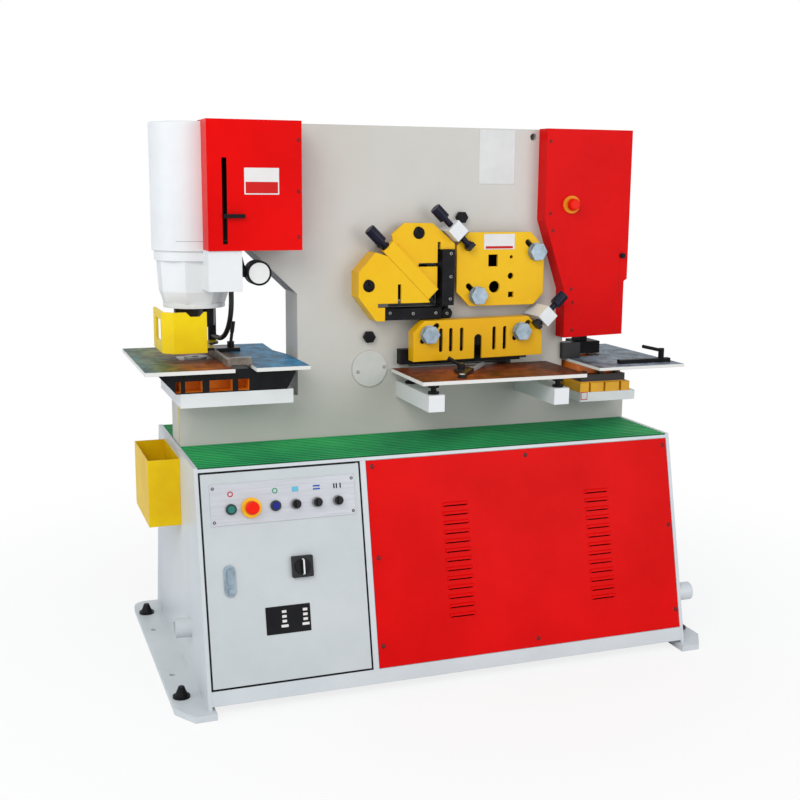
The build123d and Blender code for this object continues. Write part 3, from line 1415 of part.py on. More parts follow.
# Notcher bed: yellow block with front grooves, black plate with screw heads, die stand and stop block
bed_low = notch_floor + notch_shelf_sheet
bed_x = (570.0, 765.0)
bed_y = (-150.0, 200.0)
bed_top = 869.0
groove_x = ((604.0, 612.0), (662.0, 669.0), (724.0, 732.0))
groove_depth = 60.0
screw_x = (597.0, 659.0, 722.0)
plate_top = 897.0
die_gap = (632.0, 736.0)
die_gap_y = (-6.0, 106.0)
stop_block = (552.0, 622.0)
stop_block_y = (-45.0, 0.0)
stop_block_top = 998.0
with BuildPart() as notch_bed:
    block(bed_x, bed_y, (bed_low, bed_top))
    for left, right in groove_x:
        block((left, right), (bed_y[0], bed_y[0] + groove_depth), (bed_low, bed_top), mode=Mode.SUBTRACT)
    clamp_x = (bed_x[0] + 6, bed_x[1] - 16)
    block(clamp_x, (bed_y[0] + 8, bed_y[1] - 8), (bed_top, plate_top))
    block(clamp_x, (bed_y[0] + 40, bed_y[1] - 8), (plate_top, notch_table_top - notch_table_sheet))
    block(die_gap, die_gap_y, (bed_top - 12, notch_table_top), mode=Mode.SUBTRACT)
    for x in screw_x:
        with Locations((x, bed_y[0] + 24, plate_top)):
            Cylinder(9, 10, align=(Align.CENTER, Align.CENTER, Align.MIN))
    block((notch_left, stop_block[1]), stop_block_y, (notch_table_top, stop_block_top))
    block(stop_block, (stop_block_y[0], frame_front), (notch_table_top, stop_block_top))
save(notch_bed.part, "notch_bed")

with BuildPart() as notch_table:
    with BuildSketch(Plane.XY.offset(notch_table_top - notch_table_sheet)):
        middle = ((notch_table_x[0] + notch_table_x[1]) / 2, (notch_table_y[0] + notch_table_y[1]) / 2)
        with Locations(middle):
            Rectangle(notch_table_x[1] - notch_table_x[0], notch_table_y[1] - notch_table_y[0])
        centred(die_gap[0], die_gap[1], die_gap_y[0], die_gap_y[1])
    extrude(amount=notch_table_sheet)
save(notch_table.part, "notch_table")

# Notcher fence with its clamp lever
notch_bar_x = (684.0, 884.0)
notch_bar_y = (-218.0, -196.0)
notch_lever = (852.0, -207.0)
notch_grip = (-75.0, 17.0)
with BuildPart() as notch_fence:
    block(notch_bar_x, notch_bar_y, (notch_table_top, notch_table_top + 14))
    with Locations((notch_lever[0], notch_lever[1], notch_table_top + 14)):
        Cylinder(10, 34, align=(Align.CENTER, Align.CENTER, Align.MIN))
    lever_top = notch_table_top + 40
    with BuildSketch(Plane(origin=(*notch_lever, lever_top), z_dir=(notch_grip[0], 0, notch_grip[1]))):
        Circle(6)
    extrude(amount=math.hypot(*notch_grip))
save(notch_fence.part, "notch_fence")
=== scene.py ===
import math

import bmesh
import bpy
from mathutils import Matrix, Vector


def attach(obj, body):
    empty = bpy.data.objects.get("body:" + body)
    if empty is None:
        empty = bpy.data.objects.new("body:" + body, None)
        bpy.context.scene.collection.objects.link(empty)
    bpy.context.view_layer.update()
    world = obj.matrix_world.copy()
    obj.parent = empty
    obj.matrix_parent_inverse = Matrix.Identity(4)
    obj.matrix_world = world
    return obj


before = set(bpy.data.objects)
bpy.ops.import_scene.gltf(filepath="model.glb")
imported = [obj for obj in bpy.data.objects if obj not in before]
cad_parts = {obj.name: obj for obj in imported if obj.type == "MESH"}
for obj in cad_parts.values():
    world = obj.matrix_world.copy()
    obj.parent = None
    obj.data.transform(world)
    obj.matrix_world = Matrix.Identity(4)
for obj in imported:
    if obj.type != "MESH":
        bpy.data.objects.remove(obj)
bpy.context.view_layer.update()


# The camera stands in front of the machine's left end at chest height and looks slightly down.
camera_data = bpy.data.cameras.new("camera")
camera = bpy.data.objects.new("camera", camera_data)
bpy.context.scene.collection.objects.link(camera)
camera.location = (-1.3904, -3.6933, 1.5461)
look = Vector((0.33617, 0.92404, -0.18204)).to_track_quat("-Z", "Y")
camera.rotation_mode = "QUATERNION"
camera.rotation_quaternion = look @ Matrix.Rotation(0.0077, 3, "Z").to_quaternion()
camera_data.lens = 52.6
camera_data.sensor_width = 36
camera_data.shift_x = 0.0019
camera_data.dof.use_dof = False
bpy.context.scene.camera = camera
bpy.context.scene.view_settings.view_transform = "Standard"


# The studio: a pale floor, a white surround and three soft lamps, none of them part of the machine.
world = bpy.data.worlds.new("studio")
bpy.context.scene.world = world
world.use_nodes = True
tree = world.node_tree
surround = tree.nodes["Background"]
surround.inputs["Color"].default_value = (0.86, 0.92, 1.0, 1)
surround.inputs["Strength"].default_value = 0.62
white = tree.nodes.new("ShaderNodeBackground")
white.inputs["Color"].default_value = (1, 1, 1, 1)
white.inputs["Strength"].default_value = 1.0
rays = tree.nodes.new("ShaderNodeLightPath")
straight = tree.nodes.new("ShaderNodeMath")
straight.operation = "MAXIMUM"
tree.links.new(rays.outputs["Is Camera Ray"], straight.inputs[0])
tree.links.new(rays.outputs["Is Transmission Ray"], straight.inputs[1])
seen = tree.nodes.new("ShaderNodeMath")
seen.operation = "MAXIMUM"
tree.links.new(straight.outputs[0], seen.inputs[0])
tree.links.new(rays.outputs["Is Glossy Ray"], seen.inputs[1])
split = tree.nodes.new("ShaderNodeMixShader")
tree.links.new(seen.outputs[0], split.inputs["Fac"])
tree.links.new(surround.outputs[0], split.inputs[1])
tree.links.new(white.outputs[0], split.inputs[2])
tree.links.new(split.outputs[0], tree.nodes["World Output"].inputs["Surface"])


def deselect():
    """Clears the selection, so that an operator acts only on what comes next."""
    if bpy.context.object and bpy.context.object.mode != "OBJECT":
        bpy.ops.object.mode_set(mode="OBJECT")
    bpy.ops.object.select_all(action="DESELECT")


deselect()
bpy.ops.mesh.primitive_plane_add(size=30, location=(0, 0, -0.0005))
floor = bpy.context.object
floor.name = "floor"
floor_paint = bpy.data.materials.new("floor_paint")
floor_paint.use_nodes = True
tree = floor_paint.node_tree
base = tree.nodes["Principled BSDF"]
base.inputs["Base Color"].default_value = (0.86, 0.86, 0.86, 1)
base.inputs["Roughness"].default_value = 0.6
glow = tree.nodes.new("ShaderNodeEmission")
glow.inputs["Strength"].default_value = 1.0
place = tree.nodes.new("ShaderNodeTexCoord")
far = tree.nodes.new("ShaderNodeVectorMath")
far.operation = "LENGTH"
tree.links.new(place.outputs["Object"], far.inputs[0])
fade = tree.nodes.new("ShaderNodeMapRange")
fade.interpolation_type = "SMOOTHSTEP"
fade.inputs["From Min"].default_value = 0.7
fade.inputs["From Max"].default_value = 2.6
fade.inputs["To Min"].default_value = 0.80
fade.inputs["To Max"].default_value = 1.0
tree.links.new(far.outputs["Value"], fade.inputs["Value"])
rays = tree.nodes.new("ShaderNodeLightPath")
share = tree.nodes.new("ShaderNodeMath")
share.operation = "MULTIPLY"
tree.links.new(fade.outputs["Result"], share.inputs[1])
tree.links.new(rays.outputs["Is Camera Ray"], share.inputs[0])
split = tree.nodes.new("ShaderNodeMixShader")
tree.links.new(share.outputs[0], split.inputs["Fac"])
tree.links.new(base.outputs[0], split.inputs[1])
tree.links.new(glow.outputs[0], split.inputs[2])
tree.links.new(split.outputs[0], tree.nodes["Material Output"].inputs["Surface"])
floor.data.materials.append(floor_paint)


def lamp(name, place, aim, size, watts, tint=(1, 1, 1)):
    """A soft square lamp aimed at a point."""
    data = bpy.data.lights.new(name, "AREA")
    data.size = size
    data.energy = watts
    data.color = tint
    lit = bpy.data.objects.new(name, data)
    bpy.context.scene.collection.objects.link(lit)
    lit.location = place
    lit.rotation_mode = "QUATERNION"
    lit.rotation_quaternion = (Vector(aim) - Vector(place)).to_track_quat("-Z", "Y")


lamp("key", (-2.6, -3.4, 3.6), (0, 0, 0.9), 2.6, 95, (1, 0.98, 0.95))
lamp("front", (2.2, -4.2, 1.8), (0.2, 0, 0.8), 2.4, 48)
lamp("left", (-4.0, -0.4, 1.6), (-0.6, 0, 0.8), 2.2, 26, (0.9, 0.95, 1))


# Base and cabinet door: welded steel plate, sprayed pale grey, with a faint unevenness from the
# spray gun and duller handling marks. Every other finish is mixed by the same three helpers.
def mottled(name, colour, deep, rough=0.38, grain=3.0, peel=0.02, metal=0.0, coat=0.0, shine=0.35,
            streaks=None):
    """A finish whose colour drifts between two tones, with fine bumps and uneven gloss."""
    made = bpy.data.materials.new(name)
    made.use_nodes = True
    nodes, links = made.node_tree.nodes, made.node_tree.links
    shader = nodes["Principled BSDF"]
    shader.inputs["Metallic"].default_value = metal
    shader.inputs["Coat Weight"].default_value = coat
    shader.inputs["Coat Roughness"].default_value = 0.15
    shader.inputs["Specular IOR Level"].default_value = shine
    place = nodes.new("ShaderNodeTexCoord")
    spread = nodes.new("ShaderNodeMapping")
    spread.inputs["Scale"].default_value = streaks or (1, 1, 1)
    links.new(place.outputs["Object"], spread.inputs["Vector"])
    cloud = nodes.new("ShaderNodeTexNoise")
    cloud.inputs["Scale"].default_value = grain
    cloud.inputs["Detail"].default_value = 5
    cloud.inputs["Roughness"].default_value = 0.6
    links.new(spread.outputs[0], cloud.inputs["Vector"])
    ramp = nodes.new("ShaderNodeValToRGB")
    ramp.name = "tones"
    ramp.color_ramp.elements[0].position = 0.35
    ramp.color_ramp.elements[0].color = (*deep, 1)
    ramp.color_ramp.elements[1].position = 0.65
    ramp.color_ramp.elements[1].color = (*colour, 1)
    links.new(cloud.outputs["Fac"], ramp.inputs["Fac"])
    links.new(ramp.outputs["Color"], shader.inputs["Base Color"])
    dull = nodes.new("ShaderNodeMapRange")
    dull.inputs["To Min"].default_value = rough + 0.08
    dull.inputs["To Max"].default_value = rough - 0.05
    links.new(cloud.outputs["Fac"], dull.inputs["Value"])
    links.new(dull.outputs["Result"], shader.inputs["Roughness"])
    fine = nodes.new("ShaderNodeTexNoise")
    fine.inputs["Scale"].default_value = grain * 60
    fine.inputs["Detail"].default_value = 3
    links.new(spread.outputs[0], fine.inputs["Vector"])
    soft = nodes.new("ShaderNodeBevel")
    soft.samples = 4
    soft.inputs["Radius"].default_value = 0.0018
    bump = nodes.new("ShaderNodeBump")
    bump.inputs["Strength"].default_value = peel * 5
    bump.inputs["Distance"].default_value = 0.001
    links.new(soft.outputs[0], bump.inputs["Normal"])
    links.new(fine.outputs["Fac"], bump.inputs["Height"])
    links.new(bump.outputs["Normal"], shader.inputs["Normal"])
    return made


def recolour(material, low, high, colour, deep=None):
    """Inside a box of the row frame, given by its corners in metres, the finish takes another colour."""
    nodes, links = material.node_tree.nodes, material.node_tree.links
    shader = nodes["Principled BSDF"]
    before = shader.inputs["Base Color"].links[0].from_socket
    place = nodes.new("ShaderNodeTexCoord")
    axes = nodes.new("ShaderNodeSeparateXYZ")
    links.new(place.outputs["Object"], axes.inputs[0])
    inside = None
    for axis in range(3):
        for limit, way in ((low[axis], "GREATER_THAN"), (high[axis], "LESS_THAN")):
            if limit is None:
                continue
            test = nodes.new("ShaderNodeMath")
            test.operation = way
            test.inputs[1].default_value = limit
            links.new(axes.outputs[axis], test.inputs[0])
            if inside is None:
                inside = test.outputs[0]
            else:
                both = nodes.new("ShaderNodeMath")
                both.operation = "MULTIPLY"
                links.new(inside, both.inputs[0])
                links.new(test.outputs[0], both.inputs[1])
                inside = both.outputs[0]
    tone = nodes.new("ShaderNodeMix")
    tone.data_type = "RGBA"
    tone.inputs["A"].default_value = (*(deep or [c * 0.86 for c in colour]), 1)
    tone.inputs["B"].default_value = (*colour, 1)
    cloud = nodes["tones"].inputs["Fac"].links[0].from_socket
    links.new(cloud, tone.inputs["Factor"])
    mix = nodes.new("ShaderNodeMix")
    mix.data_type = "RGBA"
    links.new(inside, mix.inputs["Factor"])
    links.new(before, mix.inputs["A"])
    links.new(tone.outputs["Result"], mix.inputs["B"])
    links.new(mix.outputs["Result"], shader.inputs["Base Color"])


def recolour_round(material, centre, along, radius, colour, deep):
    """Round an axis through a point the finish takes another colour, out to a radius in metres."""
    nodes, links = material.node_tree.nodes, material.node_tree.links
    shader = nodes["Principled BSDF"]
    before = shader.inputs["Base Color"].links[0].from_socket
    place = nodes.new("ShaderNodeTexCoord")
    away = nodes.new("ShaderNodeVectorMath")
    away.operation = "SUBTRACT"
    away.inputs[1].default_value = centre
    links.new(place.outputs["Object"], away.inputs[0])
    across = nodes.new("ShaderNodeVectorMath")
    across.operation = "CROSS_PRODUCT"
    across.inputs[1].default_value = along
    links.new(away.outputs[0], across.inputs[0])
    reach = nodes.new("ShaderNodeVectorMath")
    reach.operation = "LENGTH"
    links.new(across.outputs[0], reach.inputs[0])
    inside = nodes.new("ShaderNodeMath")
    inside.operation = "LESS_THAN"
    inside.inputs[1].default_value = radius
    links.new(reach.outputs["Value"], inside.inputs[0])
    tone = nodes.new("ShaderNodeMix")
    tone.data_type = "RGBA"
    tone.inputs["A"].default_value = (*deep, 1)
    tone.inputs["B"].default_value = (*colour, 1)
    links.new(nodes["tones"].inputs["Fac"].links[0].from_socket, tone.inputs["Factor"])
    mix = nodes.new("ShaderNodeMix")
    mix.data_type = "RGBA"
    links.new(inside.outputs[0], mix.inputs["Factor"])
    links.new(before, mix.inputs["A"])
    links.new(tone.outputs["Result"], mix.inputs["B"])
    links.new(mix.outputs["Result"], shader.inputs["Base Color"])


def dress(material, *names):
    """Gives CAD nodes their finish."""
    for name in names:
        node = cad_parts[name]
        node.data.materials.clear()
        node.data.materials.append(material)


deck_front = -0.338
deck_height = 0.715
lean = math.atan2(0.159, 0.695)
face_out = Vector((0, -math.cos(lean), math.sin(lean)))
face_up = Vector((0, math.sin(lean), math.cos(lean)))
on_face = Matrix((Vector((1, 0, 0)), face_up, face_out)).transposed()


def base_face(x, height, out=0.0):
    """A point on the base's leaning front, for an X and a height, standing off it by a distance."""
    up = (height - deck_height) / math.cos(lean)
    return Vector((x, deck_front, deck_height)) + face_up * up + face_out * out


base_paint = mottled("base_paint", (0.60, 0.63, 0.64), (0.54, 0.575, 0.59), rough=0.34)
dress(base_paint, "base_sides", "base_deck", "base_rails")
door_paint = mottled("door_paint", (0.55, 0.58, 0.58), (0.49, 0.525, 0.53), rough=0.32)
dress(door_paint, "cabinet_door")


# Tread mats on the base: bright green moulded rubber with ribs, laid on the deck.
# Dirt and shade make the floor between the ribs darker than their tops.
mat_rubber = mottled("mat_rubber", (0.035, 0.50, 0.13), (0.012, 0.26, 0.09), rough=0.45, grain=2.2, peel=0.06,
                     shine=0.12)
recolour(mat_rubber, (None, None, 0.7), (None, None, 0.7133), (0.008, 0.12, 0.04), (0.003, 0.05, 0.018))
dress(mat_rubber, "tread_mats")


# Red sheet metal: the louvred panels of the base and both covers, folded and sprayed gloss red.
# On the right cover the emergency stop's collar is orange and the knob black, and a thin line of painted
# shade marks a fold.
red_paint = mottled("red_paint", (0.70, 0.002, 0.002), (0.60, 0.001, 0.001), rough=0.34, shine=0.06)
dress(red_paint, "base_panels")
cover_paint = mottled("cover_paint", (0.74, 0.002, 0.002), (0.64, 0.001, 0.001), rough=0.32, shine=0.06)
dress(cover_paint, "cover_left")
right_paint = mottled("right_cover_paint", (0.72, 0.002, 0.002), (0.62, 0.001, 0.002), rough=0.32, shine=0.06)
recolour(right_paint, (0.513, -0.10, 1.449), (0.575, -0.0852, 1.511), (0.85, 0.30, 0.02))
recolour(right_paint, (0.742, -0.10, 1.294), (0.762, -0.0852, 1.314), (0.012, 0.012, 0.013))
# Painted shade: a thin dark red line down a fold of the cover.
recolour(right_paint, (0.7425, -0.0855, 1.148), (0.7440, -0.0845, 1.323), (0.30, 0.01, 0.01))
dress(right_paint, "cover_right")


# Yellow parts: guards, section plate, stripper guard and hung tray, cut from plate or folded and
# then sprayed. The lugs on the section plate and the flat guard and the stripper's foot are black.
yellow_paint = mottled("yellow_paint", (0.84, 0.50, 0.004), (0.80, 0.44, 0.003), rough=0.34, grain=4,
                       shine=0.15)
dress(yellow_paint, "angle_guards", "angle_hold_down")
black = (0.014, 0.014, 0.015)
section_paint = mottled("section_paint", (0.84, 0.50, 0.004), (0.80, 0.43, 0.003), rough=0.34, grain=4,
                        shine=0.15)
recolour(section_paint, (None, -0.2, None), (None, -0.0705, None), black)
dress(section_paint, "section_plate")
flat_paint = mottled("flat_guard_paint", (0.84, 0.48, 0.004), (0.80, 0.41, 0.003), rough=0.34, grain=4,
                     shine=0.15)
recolour(flat_paint, (None, -0.2, None), (None, -0.1105, None), black)
dress(flat_paint, "flat_guard")
guard_paint = mottled("guard_paint", (0.86, 0.66, 0.004), (0.80, 0.54, 0.003), rough=0.34, grain=5,
                      shine=0.15)
recolour(guard_paint, (-0.7155, None, None), (None, None, 1.0305), black)
dress(guard_paint, "stripper_guard")
tray_paint = mottled("tray_paint", (0.82, 0.56, 0.003), (0.74, 0.44, 0.002), rough=0.34, grain=5, shine=0.15)
dress(tray_paint, "side_tray")


# Frame: thick flame-cut plates painted warm light grey. The welded blocks and arms have the same paint
# but get the white finish as painted light, and the beam between is painted near-black as shade.
# Painted shade darkens the windows, the face behind the guards and the throat's slope.
frame_paint = mottled("frame_paint", (0.58, 0.56, 0.52), (0.53, 0.51, 0.46), rough=0.4, grain=1.6)
painted_shade = (0.016, 0.015, 0.014)
# Boxes of painted shade: the three window walls, the frame face behind the section plate, the flat guard and
# the angle guards, and the throat's slope.
for low, high in (((-0.062, -0.0245, 1.148), (0.072, 0.13, 1.292)),
                  ((0.218, -0.0245, 1.158), (0.352, 0.13, 1.332)),
                  ((-0.022, -0.0245, 0.928), (0.362, 0.13, 0.992)),
                  ((0.165, -0.03, 1.165), (0.44, -0.02, 1.365)),
                  ((0.0, -0.03, 0.95), (0.42, -0.02, 1.078)),
                  ((-0.095, -0.03, 1.142), (0.072, -0.02, 1.30)),
                  ((-0.62, -0.0245, 1.196), (-0.405, 0.1245, 1.362))):
    recolour(frame_paint, low, high, painted_shade)
recolour(frame_paint, (-0.80, -0.021, 0.72), (-0.7965, 0.003, 0.849), (0.62, 0.50, 0.02))
dress(frame_paint, "frame_front_plate", "frame_rear_plate")
# Painted shade: the beam and its cylinder are painted near-black for the shade inside the frame's windows.
beam_paint = mottled("beam_paint", (0.07, 0.066, 0.06), (0.04, 0.038, 0.035), rough=0.5, shine=0.15)
dress(beam_paint, "rocker_beam", "beam_cylinder")
white_paint_and_painted_light = mottled("white_paint_and_painted_light", (0.76, 0.77, 0.77), (0.70, 0.71, 0.71), rough=0.36)
# Painted shade: inside the left cover, behind its front, the white barrel, head and brackets are painted
# black.
recolour(white_paint_and_painted_light, (-0.7185, -0.1645, 1.3435), (-0.4285, -0.0255, 1.7285), black)
recolour(white_paint_and_painted_light, (-0.80, None, 1.3655), (-0.60, -0.02, 1.3668), (0.25, 0.25, 0.25))
# Painted light: the frame's blocks and arms carry the frame's grey paint, but get this white finish because
# they catch more light.
dress(white_paint_and_painted_light, "punch_cylinder", "punch_head", "frame_brackets")


# Machined steel: rod, punch and die are turned bright and lightly oiled, nuts and door latch are
# zinc plated, the fences are worn dark. The pivot pin's end plate is painted like the frame.
bright_steel = mottled("bright_steel", (0.46, 0.45, 0.42), (0.34, 0.33, 0.31), rough=0.33, grain=9, metal=0.7)
dress(bright_steel, "beam_rod", "punch_tool", "punch_die")
pivot_paint = mottled("pivot_plate_paint", (0.60, 0.60, 0.56), (0.54, 0.54, 0.50), rough=0.36, grain=10)
dress(pivot_paint, "pivot_pin")
zinc = mottled("zinc", (0.34, 0.42, 0.48), (0.22, 0.28, 0.33), rough=0.36, grain=34, metal=0.45, shine=0.25)
dress(zinc, "clamp_nuts", "door_latch")
fence_steel = mottled("fence_steel", (0.30, 0.26, 0.22), (0.10, 0.075, 0.055), rough=0.35, grain=18,
                      metal=0.4, shine=0.25)
recolour(fence_steel, (None, 0.139, 0.98), (None, None, 1.1), black)
dress(fence_steel, "punch_fence")
mitre_steel = mottled("mitre_steel", (0.022, 0.021, 0.02), (0.01, 0.01, 0.01), rough=0.3, grain=18, shine=0.2)
recolour(mitre_steel, (0.15, -0.19, 0.9), (None, None, 1.0), (0.42, 0.42, 0.40))
dress(mitre_steel, "shear_fence")


# Blackened steel: blades, bolster, screws, bars and arms, chemically blackened with a soft oily
# sheen. The rubber hose and the grey power unit inside the base are finished here too.
black_steel = mottled("black_steel", (0.010, 0.010, 0.012), (0.004, 0.004, 0.005), rough=0.42, grain=20,
                      shine=0.1)
dress(black_steel, "shear_blades", "stroke_bar", "stripper_arm", "notch_fence", "lamp_arm", "lamp_head",
      "levelling_screws", "electrical_board", "notch_punch")
nut_black = mottled("nut_black", (0.02, 0.02, 0.022), (0.008, 0.008, 0.009), rough=0.22, grain=14, coat=0.15,
                    shine=0.25)
dress(nut_black, "punch_ram")
screw_black = mottled("screw_black", (0.010, 0.011, 0.030), (0.004, 0.004, 0.012), rough=0.28, grain=30,
                      shine=0.16)
dress(screw_black, "angle_screw", "section_screw", "flat_screw")
bolster_black = mottled("bolster_black", (0.011, 0.011, 0.012), (0.005, 0.005, 0.006), rough=0.45, grain=20,
                        shine=0.12)
recolour(bolster_black, (-0.83, -0.1495, 0.905), (-0.59, -0.086, 0.948), (0.95, 0.34, 0.03))
dress(bolster_black, "punch_bolster")
rubber = mottled("hose_rubber", (0.012, 0.012, 0.012), (0.006, 0.006, 0.006), rough=0.45, grain=40)
dress(rubber, "hydraulic_hose")
unit_paint = mottled("unit_paint", (0.22, 0.24, 0.26), (0.16, 0.18, 0.2), rough=0.45)
dress(unit_paint, "power_unit")


# Tables: steel plates with ground tops that carry an oil and heat tint from brown to blue, on
# levelling screws. Their edges are painted pale.
def table_plate(name, tones, along, side=(0.72, 0.71, 0.67)):
    """Oiled plate whose tint runs along X between the stops of a ramp, with pale painted edges."""
    made = mottled(name, (0.5, 0.5, 0.5), (0.4, 0.4, 0.4), rough=0.42, grain=7, shine=0.08)
    nodes, links = made.node_tree.nodes, made.node_tree.links
    shader = nodes["Principled BSDF"]
    place = nodes.new("ShaderNodeTexCoord")
    axes = nodes.new("ShaderNodeSeparateXYZ")
    links.new(place.outputs["Object"], axes.inputs[0])
    blot = nodes.new("ShaderNodeTexNoise")
    blot.inputs["Scale"].default_value = 9
    blot.inputs["Detail"].default_value = 6
    links.new(place.outputs["Object"], blot.inputs["Vector"])
    drift = nodes.new("ShaderNodeMath")
    drift.operation = "MULTIPLY_ADD"
    drift.inputs[1].default_value = 0.22
    links.new(blot.outputs["Fac"], drift.inputs[0])
    links.new(axes.outputs["X"], drift.inputs[2])
    run = nodes.new("ShaderNodeMapRange")
    run.inputs["From Min"].default_value = along[0] + 0.11
    run.inputs["From Max"].default_value = along[1] + 0.11
    links.new(drift.outputs[0], run.inputs["Value"])
    ramp = nodes.new("ShaderNodeValToRGB")
    while len(ramp.color_ramp.elements) < len(tones):
        ramp.color_ramp.elements.new(0.5)
    for stop, (at, colour) in zip(ramp.color_ramp.elements, tones):
        stop.position = at
        stop.color = (*colour, 1)
    links.new(run.outputs["Result"], ramp.inputs["Fac"])
    facing = nodes.new("ShaderNodeNewGeometry")
    parts = nodes.new("ShaderNodeSeparateXYZ")
    links.new(facing.outputs["True Normal"], parts.inputs[0])
    top = nodes.new("ShaderNodeMath")
    top.operation = "GREATER_THAN"
    top.inputs[1].default_value = 0.5
    links.new(parts.outputs["Z"], top.inputs[0])
    mix = nodes.new("ShaderNodeMix")
    mix.data_type = "RGBA"
    mix.inputs["A"].default_value = (*side, 1)
    links.new(top.outputs[0], mix.inputs["Factor"])
    grime = nodes.new("ShaderNodeTexNoise")
    grime.inputs["Scale"].default_value = 26
    grime.inputs["Detail"].default_value = 8
    grime.inputs["Roughness"].default_value = 0.7
    links.new(place.outputs["Object"], grime.inputs["Vector"])
    wear = nodes.new("ShaderNodeMapRange")
    wear.inputs["From Min"].default_value = 0.40
    wear.inputs["From Max"].default_value = 0.62
    wear.inputs["To Min"].default_value = 0.35
    wear.inputs["To Max"].default_value = 1.15
    links.new(grime.outputs["Fac"], wear.inputs["Value"])
    worn = nodes.new("ShaderNodeVectorMath")
    worn.operation = "SCALE"
    links.new(ramp.outputs["Color"], worn.inputs[0])
    links.new(wear.outputs["Result"], worn.inputs["Scale"])
    links.new(worn.outputs[0], mix.inputs["B"])
    links.new(mix.outputs["Result"], shader.inputs["Base Color"])
    return made


punch_tones = [(0.0, (0.06, 0.16, 0.15)), (0.16, (0.17, 0.20, 0.05)), (0.32, (0.42, 0.13, 0.015)),
               (0.50, (0.34, 0.08, 0.012)), (0.62, (0.10, 0.07, 0.05)), (0.72, (0.03, 0.22, 0.40)),
               (1.0, (0.03, 0.28, 0.52))]
dress(table_plate("punch_table_plate", punch_tones, (-0.93, -0.43)), "punch_table")
shear_tones = [(0.0, (0.16, 0.035, 0.012)), (0.3, (0.40, 0.09, 0.02)), (0.5, (0.16, 0.035, 0.012)),
               (0.8, (0.26, 0.07, 0.02)), (1.0, (0.10, 0.04, 0.02))]
shear_plate = table_plate("shear_table_plate", shear_tones, (-0.09, 0.49))
recolour(shear_plate, (None, None, 0.5), (None, None, 0.9235), (0.012, 0.012, 0.013))
dress(shear_plate, "shear_table")
notch_tones = [(0.0, (0.10, 0.12, 0.14)), (0.4, (0.34, 0.42, 0.50)), (1.0, (0.22, 0.28, 0.34))]
dress(table_plate("notch_table_plate", notch_tones, (0.57, 0.9)), "notch_table")


# Notcher bed: a yellow cast block bolted to its shelf, with a black clamping plate over it and an
# orange die stand on top. The colours change by height.
bed_paint = mottled("bed_paint", (0.86, 0.44, 0.01), (0.76, 0.34, 0.008), rough=0.35, grain=6)
recolour(bed_paint, (None, None, 0.8722), (None, None, 0.8952), (0.02, 0.014, 0.012))
recolour(bed_paint, (None, None, 0.8952), (None, None, 0.9312), (0.72, 0.16, 0.01))
recolour(bed_paint, (None, -0.15, 0.8952), (None, -0.112, 0.9308), (0.012, 0.012, 0.013))
recolour(bed_paint, (None, None, 0.9405), (None, None, 1.1), (0.012, 0.012, 0.013))
dress(bed_paint, "notch_bed")


# Controls: a brushed steel plate screwed to the door, with plastic bezels and caps pressed in.
# The emergency stops are red on a yellow collar; the main switch is black with a white line.
control_steel = mottled("control_steel", (0.52, 0.53, 0.56), (0.46, 0.47, 0.50), rough=0.4, grain=8,
                        streaks=(1, 20, 20), metal=0.3)
button_row = 0.589
collar_radius = 0.0305
bezel_radius = 0.0165
recolour_round(control_steel, base_face(-0.647, button_row), face_out, collar_radius, (0.88, 0.50, 0.02),
               (0.84, 0.40, 0.01))
for bezel in (-0.708, -0.572):
    recolour_round(control_steel, base_face(bezel, button_row), face_out, bezel_radius, (0.03, 0.05, 0.05),
                   (0.02, 0.03, 0.03))
for bezel in (-0.509, -0.442, -0.376):
    recolour_round(control_steel, base_face(bezel, button_row), face_out, bezel_radius, (0.30, 0.30, 0.31),
                   (0.22, 0.22, 0.23))
recolour(control_steel, (-0.538, None, 0.36), (-0.468, None, 0.45), (0.014, 0.014, 0.016))
dress(control_steel, "control_plate")
green_cap = mottled("green_cap", (0.02, 0.20, 0.16), (0.015, 0.15, 0.12), rough=0.25, coat=0.2, shine=0.2)
blue_cap = mottled("blue_cap", (0.010, 0.012, 0.24), (0.008, 0.01, 0.18), rough=0.25, coat=0.1, shine=0.2)
red_cap = mottled("red_cap", (0.88, 0.015, 0.004), (0.76, 0.01, 0.003), rough=0.3, shine=0.1)
black_cap = mottled("black_cap", (0.012, 0.012, 0.014), (0.007, 0.007, 0.008), rough=0.3, shine=0.2)
switch_cap = mottled("switch_cap", (0.012, 0.012, 0.014), (0.007, 0.007, 0.008), rough=0.35, shine=0.12)
recolour(switch_cap, (-0.5055, None, None), (-0.5005, None, None), (0.78, 0.78, 0.78))
dress(green_cap, "green_button")
dress(blue_cap, "blue_button")
dress(red_cap, "door_stop_button", "cover_stop_button")
dress(black_cap, "left_selector", "middle_selector", "right_selector", "punch_lever", "shear_lever")
dress(switch_cap, "main_switch_handle")


def settle(piece, name, material, body):
    """Puts a finished piece's place into its mesh, and gives it its name, finish and body."""
    deselect()
    piece.select_set(True)
    bpy.context.view_layer.objects.active = piece
    bpy.ops.object.transform_apply(location=True, rotation=True, scale=True)
    piece.name = name
    piece.data.name = name
    piece.data.materials.clear()
    piece.data.materials.append(material)
    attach(piece, body)


def gather(pieces):
    """Joins like pieces into one mesh."""
    deselect()
    for piece in pieces:
        piece.select_set(True)
    bpy.context.view_layer.objects.active = pieces[0]
    bpy.ops.object.transform_apply(location=True, rotation=True, scale=True)
    if len(pieces) > 1:
        bpy.ops.object.join()
    return bpy.context.object


